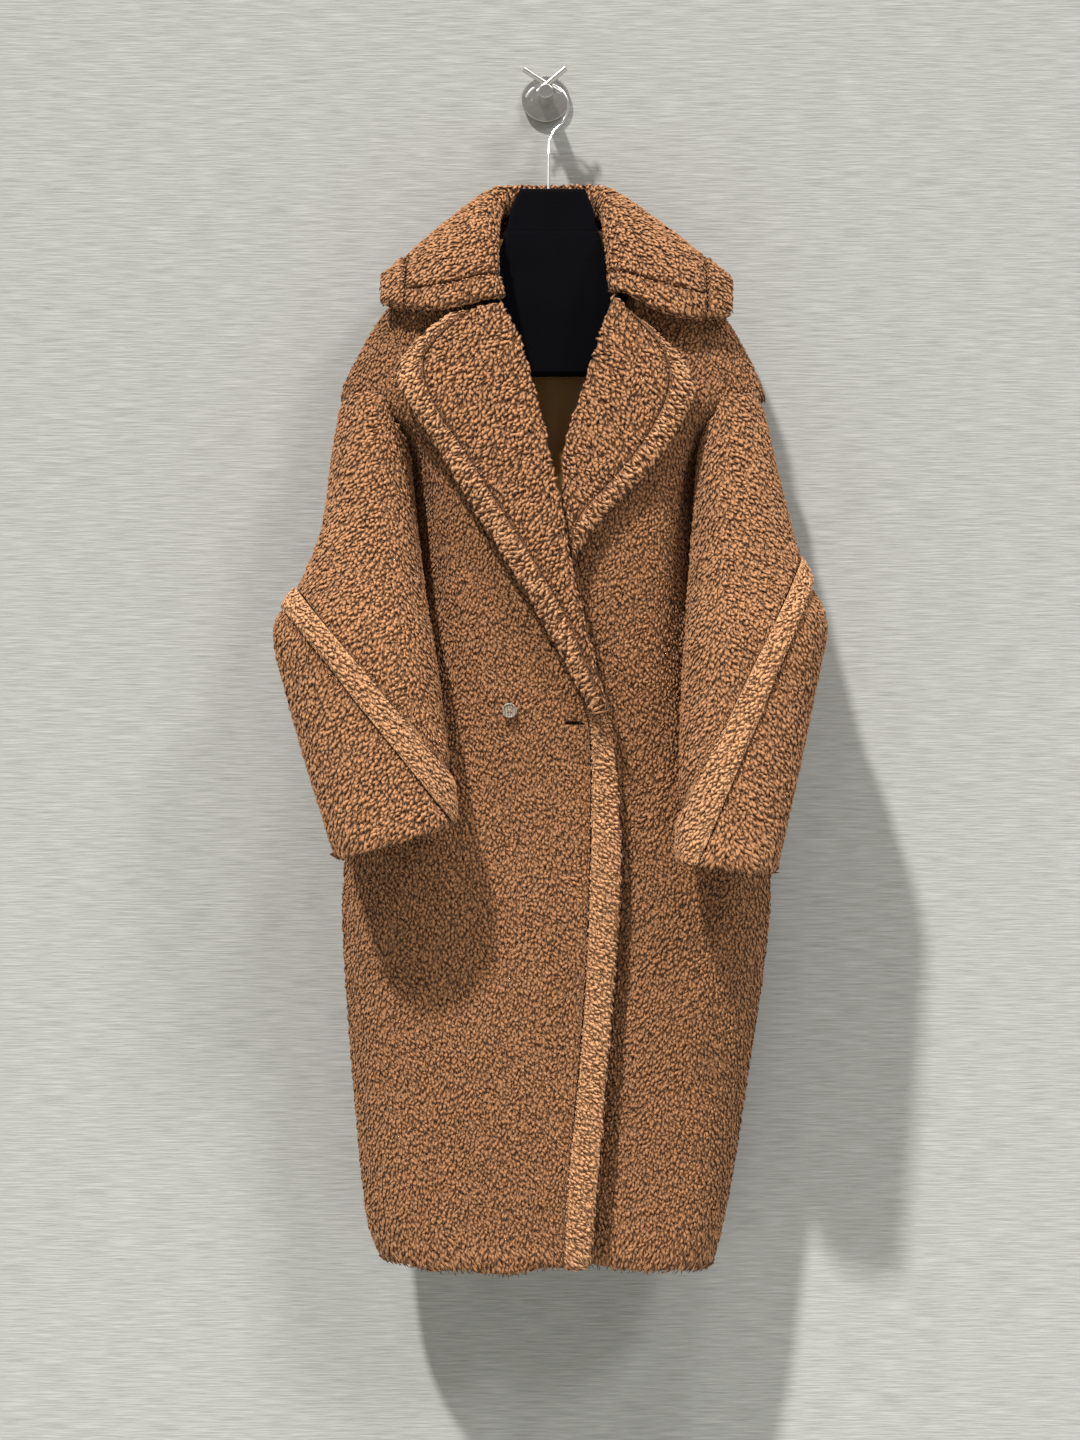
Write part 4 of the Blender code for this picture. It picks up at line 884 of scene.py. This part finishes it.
def out_of_lap(places):
    """No pile where the left front lies hidden under the right one."""
    heights, edges = np.array(CLOSING_EDGE).T
    edge = np.interp(places[:, 2], heights, edges)
    return step_between(places[:, 0], edge - LAP_REACH - LAP_FADE, edge - LAP_REACH)


FRONTS = (
    # side, pieces sewn to it, creases, cut, its area, sideways lean of the nap, where the pile grows, seed
    (
        "right", ("front_band", "back_panel", "sleeve_right_upper"), RIGHT_FRONT_CREASES,
        (0.30, 1.09), 0.245, 0.12, clear_of_buttonhole, 21,
    ),
    (
        "left", ("back_panel", "sleeve_left_upper"), LEFT_FRONT_CREASES,
        (0.34, 1.09), 0.267, -0.12, out_of_lap, 22,
    ),
)
for side, seams, creases, cut, area, lean, grow, seed in FRONTS:
    node = f"front_{side}"
    front_mesh = pile_backing(node, node + "_backing", away_from_body, seams)
    tuck_behind_sleeves(front_mesh)
    hang_hem(front_mesh)
    crease(front_mesh, away_from_body, creases)
    pile = grow_pile(
        front_mesh, node + "_pile", tan_pile, "pile", FRONT_SPACING, flowing(lean, 0.0, -1.0), seed=seed,
        seams=seams, parting=SIDE_PARTING, grow=grow, shag=hem_shag,
    )
    front = new_piece(node + "_backing", front_mesh, tan_bed_painted_partings, "pile", [node])

# ---- Closing band ----
# A strip of the same cloth cut across, so that its pile lies sideways and looks lighter; that lightness is
# painted light, a lighter tan on its pile and bed.
# It is sewn along the right front's edge, with its seam to the outside.
BAND_CUT = (0.032, 0.55)
BAND_PARTING = 0.0004
PANEL_SPACING = 0.0029


def forwards(place):
    """Straight out from the wall."""
    return Vector((0.0, -1.0, 0.0))


def add_panel(
    node, finish, bed, slot, cut, area, away, nap, seed, seams, parting=SEAM_WIDTH, settle=None,
    pile_depth=PILE_DEPTH, both_sides=False, **look,
):
    """A panel's backing and its pile, as one sheet of cloth."""
    mesh = pile_backing(node, node + "_backing", away, seams, pile_depth, both_sides)
    if settle is not None:
        settle(mesh)
    pile = grow_pile(mesh, node + "_pile", finish, slot, PANEL_SPACING, nap, seed, seams, parting, **look)
    piece = new_piece(node + "_backing", mesh, bed, slot, [node])


add_panel(
    "front_band", band_pile, band_bed_painted_light_and_partings, "light_pile", BAND_CUT, None, forwards, flowing(1.0, 0.0, -0.8),
    seed=31, seams=("front_right",), parting=BAND_PARTING, settle=hang_hem, shag=hem_shag, swirl=1.0,
)

# ---- Sleeves ----
# Each sleeve is a wide tube in three parts, with a slanting band let in across the elbow and a turned cuff.
# The cloth bends forward at the elbow, and the nap parts along the fold that runs down the front.
RIGHT_MIDDLE_LINE = (
    # height, x, y
    (-0.800, -0.150, -0.202),
    (-0.720, -0.163, -0.187),
    (-0.640, -0.181, -0.169),
    (-0.560, -0.197, -0.147),
    (-0.460, -0.180, -0.106),
    (-0.300, -0.175, -0.074),
)
LEFT_MIDDLE_LINE = (
    (-0.800, 0.182, -0.203),
    (-0.720, 0.193, -0.185),
    (-0.640, 0.203, -0.167),
    (-0.560, 0.213, -0.146),
    (-0.460, 0.200, -0.106),
    (-0.300, 0.188, -0.074),
)
SLEEVE_CUTS = {
    # width, length, area of the cut
    "sleeve_right_upper": (0.36, 0.40, 0.0986),
    "sleeve_right_band": (0.33, 0.095, 0.0246),
    "sleeve_right_lower": (0.33, 0.23, 0.0538),
    "sleeve_left_upper": (0.36, 0.43, 0.0994),
    "sleeve_left_band": (0.34, 0.11, 0.0339),
    "sleeve_left_lower": (0.33, 0.22, 0.0506),
}
# The fold down each sleeve's front, where the nap parts.
RIGHT_PARTING = ((-0.800, -0.108), (-0.700, -0.104), (-0.590, -0.125), (-0.484, -0.144), (-0.410, -0.152))
LEFT_PARTING = ((-0.800, 0.180), (-0.700, 0.175), (-0.590, 0.170), (-0.484, 0.168), (-0.410, 0.172))
# How far from the fold the nap leans most, how slowly it straightens further out, and how far it leans.
PARTING_REACH = 0.022
PARTING_FADE = 3.0
PARTING_LEAN = 0.9
CUFF_SHAG = 0.5
CUFF_SHAG_START = -0.745
CUFF_END = -0.800
SLEEVE_SWIRL = 0.7
PANEL_CURL_SIZE = 1.15
SLEEVE_NEIGHBOURS = {"upper": ("band",), "band": ("upper", "lower"), "lower": ("band",)}


def away_from_line(line):
    """The way out of a sleeve from its middle line."""
    heights, middles_x, middles_y = np.array(line).T

    def away(place):
        middle_x = np.interp(place[2], heights, middles_x)
        middle_y = np.interp(place[2], heights, middles_y)
        return Vector((place[0] - middle_x, place[1] - middle_y, 0.0)).normalized()

    return away


def parted_nap(parting):
    """The nap falls away to both sides of the fold."""
    heights, middles = np.array(parting).T

    def nap(places):
        side = (places[:, 0] - np.interp(places[:, 2], heights, middles)) / PARTING_REACH
        near = np.clip(side, -1.0, 1.0) * np.exp(-np.abs(side) / PARTING_FADE)
        return np.column_stack([near * PARTING_LEAN, np.zeros(len(places)), -np.ones(len(places))])

    return nap


def cuff_shag(places):
    """Longer pile towards the cuff."""
    return 1.0 + CUFF_SHAG * (1 - step_between(places[:, 2], CUFF_END, CUFF_SHAG_START))


for side, line, parting, outward in (
    ("right", RIGHT_MIDDLE_LINE, RIGHT_PARTING, -1.0),
    ("left", LEFT_MIDDLE_LINE, LEFT_PARTING, 1.0),
):
    for number, part in enumerate(("upper", "band", "lower")):
        node = f"sleeve_{side}_{part}"
        width, length, area = SLEEVE_CUTS[node]
        seams = [f"sleeve_{side}_{other}" for other in SLEEVE_NEIGHBOURS[part]]
        if part == "upper":
            seams += ["back_panel", f"front_{side}"]
        # The band's pile and bed are painted lighter still, and the upper and lower parts wear the lighter
        # pile: both are painted light on the same tan cloth as the body.
        if part == "band":
            cloth = (band_pile, band_bed_painted_light_and_partings, "light_pile")
            nap = flowing(-0.9 * outward, 0.0, -0.9)
        else:
            cloth = (light_pile, tan_bed_painted_partings, "pile")
            nap = parted_nap(parting)
        add_panel(
            node, *cloth, (width, length), area, away_from_line(line), nap, seed=41 + number, seams=seams,
            shag=cuff_shag if part == "lower" else None, swirl=SLEEVE_SWIRL, size=PANEL_CURL_SIZE,
        )

# ---- Lapels ----
# Each lapel is a leaf turned back from the front edge, with a border sewn round its outer edge.
# The pile of both lies out towards the edge, and it is longest at the right lapel's tip.
LAPEL_CUTS = {
    "lapel_right": ((0.12, 0.40), 0.0260),
    "lapel_right_border": ((0.026, 0.50), None),
    "lapel_left": ((0.10, 0.28), 0.0158),
    "lapel_left_border": ((0.026, 0.29), None),
}
LAPEL_SHAG = 1.0
LAPEL_TIP = -0.648
LAPEL_SHAG_START = -0.610


def tip_shag(places):
    """Longer pile at the right lapel's tip, where it runs into the closing band."""
    return 1.0 + LAPEL_SHAG * (1 - step_between(places[:, 2], LAPEL_TIP, LAPEL_SHAG_START))


for number, (node, (cut, area)) in enumerate(LAPEL_CUTS.items()):
    outward = -1.0 if "right" in node else 1.0
    # The borders wear the band's pile and the leaves the lighter pile, both painted light on the same tan
    # cloth, over the darkest bed, which is painted shade.
    if node.endswith("border"):
        other, finish, lean, swirl = node.removesuffix("_border"), band_pile, 0.8, 1.0
    else:
        other, finish, lean, swirl = node + "_border", light_pile, 0.3, 1.6
    add_panel(
        node, finish, painted_shade_bed, "light_pile", cut, area, forwards, flowing(outward * lean, 0.0, -0.8),
        seed=51 + number, seams=[other], shag=tip_shag, swirl=swirl, size=PANEL_CURL_SIZE,
    )

# ---- Collar ----
# One band of cloth that stands up round the neck, rolls over and lies on the shoulders, piled on both sides,
# with a border along its edge and a short end piece at each point.
COLLAR_CUTS = {
    "collar": (0.10, 0.58),
    "collar_border": (0.030, 0.64),
    "collar_right_end": (0.045, 0.065),
    "collar_left_end": (0.045, 0.065),
}
COLLAR_PILE_DEPTH = 0.0024
COLLAR_LEAN = 0.8
COLLAR_PARTING = 0.0010
# No pile grows nearer the wall than this, which is where the collar touches it.
WALL_CLEARANCE = -0.006


def upwards(place):
    """Mostly up, and a little forwards."""
    return Vector((0.0, -0.3, 1.0)).normalized()


def clear_of_wall(places):
    """No pile against the wall."""
    return (places[:, 1] < WALL_CLEARANCE).astype(float)


def outward_nap(places):
    """The collar's pile falls away from the neck."""
    flat = places[:, :2] - np.array(BODY_AXIS)
    flat = flat / np.linalg.norm(flat, axis=1)[:, None]
    return np.column_stack([flat * COLLAR_LEAN, -np.ones(len(places))])


# The lighter pile here is painted light, and the darkest bed under it is painted shade.
for number, (node, cut) in enumerate(COLLAR_CUTS.items()):
    add_panel(
        node, light_pile, painted_shade_bed, "light_pile", cut, None, upwards, outward_nap, seed=61 + number,
        seams=[other for other in COLLAR_CUTS if other != node], parting=COLLAR_PARTING,
        pile_depth=COLLAR_PILE_DEPTH, both_sides=True, grow=clear_of_wall, size=PANEL_CURL_SIZE,
    )
# The loose curl shapes have been copied on to every piece by now.
for shape in list(curl_shapes.objects):
    bpy.data.objects.remove(shape, do_unlink=True)
bpy.data.collections.remove(curl_shapes)

# ---- Button ----
# A grey imitation-shell disc with a raised rim and four holes, sunk into the pile.
# It is sewn on with pale thread, crossed over the middle.
BUTTON_RIM = 0.0067
RIM_WIDTH = 0.0010
THREAD_LENGTH = 0.00493
THREAD_WIDTH = 0.0006
SHELL_DARK = (0.150, 0.115, 0.085, 1.0)
SHELL_LIGHT = (0.400, 0.340, 0.270, 1.0)
THREAD_DARK = (0.260, 0.180, 0.110, 1.0)
THREAD_LIGHT = (0.520, 0.400, 0.270, 1.0)

shell_finish, tree, shader = new_finish("imitation_shell", 0.35)
shader.inputs["Coat Weight"].default_value = 0.2
place = add_node(tree, "ShaderNodeTexCoord")
layers = add_node(tree, "ShaderNodeTexWave", {"Scale": 120.0, "Distortion": 6.0, "Detail": 3.0})
shades = add_node(tree, "ShaderNodeMix", {"A": SHELL_DARK, "B": SHELL_LIGHT}, data_type="RGBA")
wire(
    tree,
    (place, "Object", layers, "Vector"),
    (layers, "Color", shades, "Factor"),
    (shades, "Result", shader, "Base Color"),
)
wear("button", shell_finish)

button_places = places_of(frame["nodes"]["button"].data)
button_low, button_high = button_places.min(axis=0), button_places.max(axis=0)
button_middle = (button_low + button_high) / 2
button_face = Vector((button_middle[0], button_low[1], button_middle[2]))
bm = bmesh.new()
bmesh.ops.create_circle(bm, segments=10, radius=RIM_WIDTH)
bmesh.ops.translate(bm, vec=(BUTTON_RIM, 0.0, 0.0), verts=bm.verts)
bmesh.ops.spin(
    bm, geom=bm.verts[:] + bm.edges[:], cent=(0.0, 0.0, 0.0), axis=(0.0, 1.0, 0.0), dvec=(0.0, 0.0, 0.0),
    angle=2 * math.pi, steps=36, use_merge=True,
)
bmesh.ops.recalc_face_normals(bm, faces=bm.faces[:])
bmesh.ops.translate(bm, vec=button_face, verts=bm.verts)
rim_mesh = bpy.data.meshes.new("button_rim")
bm.to_mesh(rim_mesh)
bm.free()
rim_mesh.shade_smooth()
new_piece("button_rim", rim_mesh, shell_finish, "shell")

thread_finish, tree, shader = new_finish("button_thread", 0.8)
place = add_node(tree, "ShaderNodeTexCoord")
strands = add_node(tree, "ShaderNodeTexNoise", {"Scale": 3000.0, "Detail": 2.0})
shades = add_node(tree, "ShaderNodeMix", {"A": THREAD_DARK, "B": THREAD_LIGHT}, data_type="RGBA")
wire(
    tree,
    (place, "Object", strands, "Vector"),
    (strands, "Fac", shades, "Factor"),
    (shades, "Result", shader, "Base Color"),
)
bm = bmesh.new()
for turn in (45, -45):
    made = bmesh.ops.create_cone(
        bm, cap_ends=True, segments=8, radius1=THREAD_WIDTH, radius2=THREAD_WIDTH, depth=THREAD_LENGTH
    )
    lying = Matrix.Translation(button_face) @ Matrix.Rotation(math.radians(turn), 4, "Y")
    bmesh.ops.transform(bm, matrix=lying, verts=made["verts"])
thread_mesh = bpy.data.meshes.new("button_thread")
bm.to_mesh(thread_mesh)
bm.free()
thread_mesh.shade_smooth()
new_piece("button_thread", thread_mesh, thread_finish, "shell")

# ---- Setting ----
# A pale wall behind and a pale floor well below, a strong lamp high in front and a little left, two weaker
# ones from above and from the right, and a camera level with the middle of the coat.
WALL_FRONT = 0.0012
FLOOR_HEIGHT = -1.75
STAGE_REACH = 6.0
PLASTER_DARK = (0.190, 0.192, 0.178, 1.0)
PLASTER_LIGHT = (0.680, 0.690, 0.675, 1.0)
LAMPS = (
    # name, way the light travels, softness in degrees, strength, colour
    ("key", (0.31, 0.46, -0.83), 3.0, 4.1, (1.0, 0.98, 0.94)),
    ("fill", (-0.15, 0.35, -0.92), 10.0, 1.0, (1.0, 0.99, 0.97)),
    ("side_fill", (-0.52, 0.55, -0.65), 12.0, 0.9, (1.0, 0.99, 0.97)),
)
CAMERA_PLACE = (-0.006, -4.0, -0.653)
FOCAL_LENGTH = 95.0

plaster, tree, shader = new_finish("plaster", 0.9)
shader.inputs["Specular IOR Level"].default_value = 0.1
place = add_node(tree, "ShaderNodeTexCoord")
laid_flat = add_node(tree, "ShaderNodeMapping", {"Scale": (26.0, 26.0, 640.0)})
threads = add_node(tree, "ShaderNodeTexNoise", {"Scale": 1.0, "Detail": 4.0, "Roughness": 0.62})
shades = add_node(tree, "ShaderNodeMix", {"A": PLASTER_DARK, "B": PLASTER_LIGHT}, data_type="RGBA")
relief = add_node(tree, "ShaderNodeBump", {"Strength": 0.4, "Distance": 0.0012})
wire(
    tree,
    (place, "Object", laid_flat, "Vector"),
    (laid_flat, "Vector", threads, "Vector"),
    (threads, "Fac", shades, "Factor"),
    (shades, "Result", shader, "Base Color"),
    (threads, "Fac", relief, "Height"),
    (relief, "Normal", shader, "Normal"),
)
# The wall is seen only from the front, so that other views can look at the coat's back.
seen = add_node(tree, "ShaderNodeNewGeometry")
clear = add_node(tree, "ShaderNodeBsdfTransparent")
one_sided = add_node(tree, "ShaderNodeMixShader")
wire(
    tree,
    (seen, "Backfacing", one_sided, "Fac"),
    (shader, "BSDF", one_sided, 1),
    (clear, "BSDF", one_sided, 2),
    (one_sided, "Shader", tree.nodes["Material Output"], "Surface"),
)


def add_stage(name, turn, move):
    """A wide flat surface of the setting."""
    bm = bmesh.new()
    bmesh.ops.create_grid(bm, x_segments=1, y_segments=1, size=STAGE_REACH)
    bmesh.ops.rotate(bm, matrix=turn, verts=bm.verts)
    bmesh.ops.translate(bm, vec=move, verts=bm.verts)
    mesh = bpy.data.meshes.new(name)
    bm.to_mesh(mesh)
    bm.free()
    mesh.materials.append(plaster)
    flat = bpy.data.objects.new(name, mesh)
    bpy.context.scene.collection.objects.link(flat)


add_stage("wall", Matrix.Rotation(math.radians(90), 3, "X"), (0.0, WALL_FRONT, 0.0))
add_stage("floor", Matrix.Identity(3), (0.0, 0.0, FLOOR_HEIGHT))

for name, way, softness, strength, colour in LAMPS:
    lamp = bpy.data.lights.new(name, "SUN")
    lamp.angle = math.radians(softness)
    lamp.energy = strength
    lamp.color = colour
    held = bpy.data.objects.new(name, lamp)
    held.rotation_euler = Vector(way).to_track_quat("-Z", "Y").to_euler()
    bpy.context.scene.collection.objects.link(held)

world = bpy.data.worlds.new("soft_surround")
world.use_nodes = True
world.node_tree.nodes["Background"].inputs["Color"].default_value = (1.0, 0.95, 0.89, 1.0)
world.node_tree.nodes["Background"].inputs["Strength"].default_value = 0.24
bpy.context.scene.world = world
bpy.context.scene.view_settings.view_transform = "Standard"

lens = bpy.data.cameras.new("camera")
lens.lens = FOCAL_LENGTH
lens.sensor_fit = "VERTICAL"
lens.sensor_height = 36.0
camera = bpy.data.objects.new("camera", lens)
camera.location = CAMERA_PLACE
camera.rotation_euler = (math.radians(90), 0.0, 0.0)
bpy.context.scene.collection.objects.link(camera)
bpy.context.scene.camera = camera
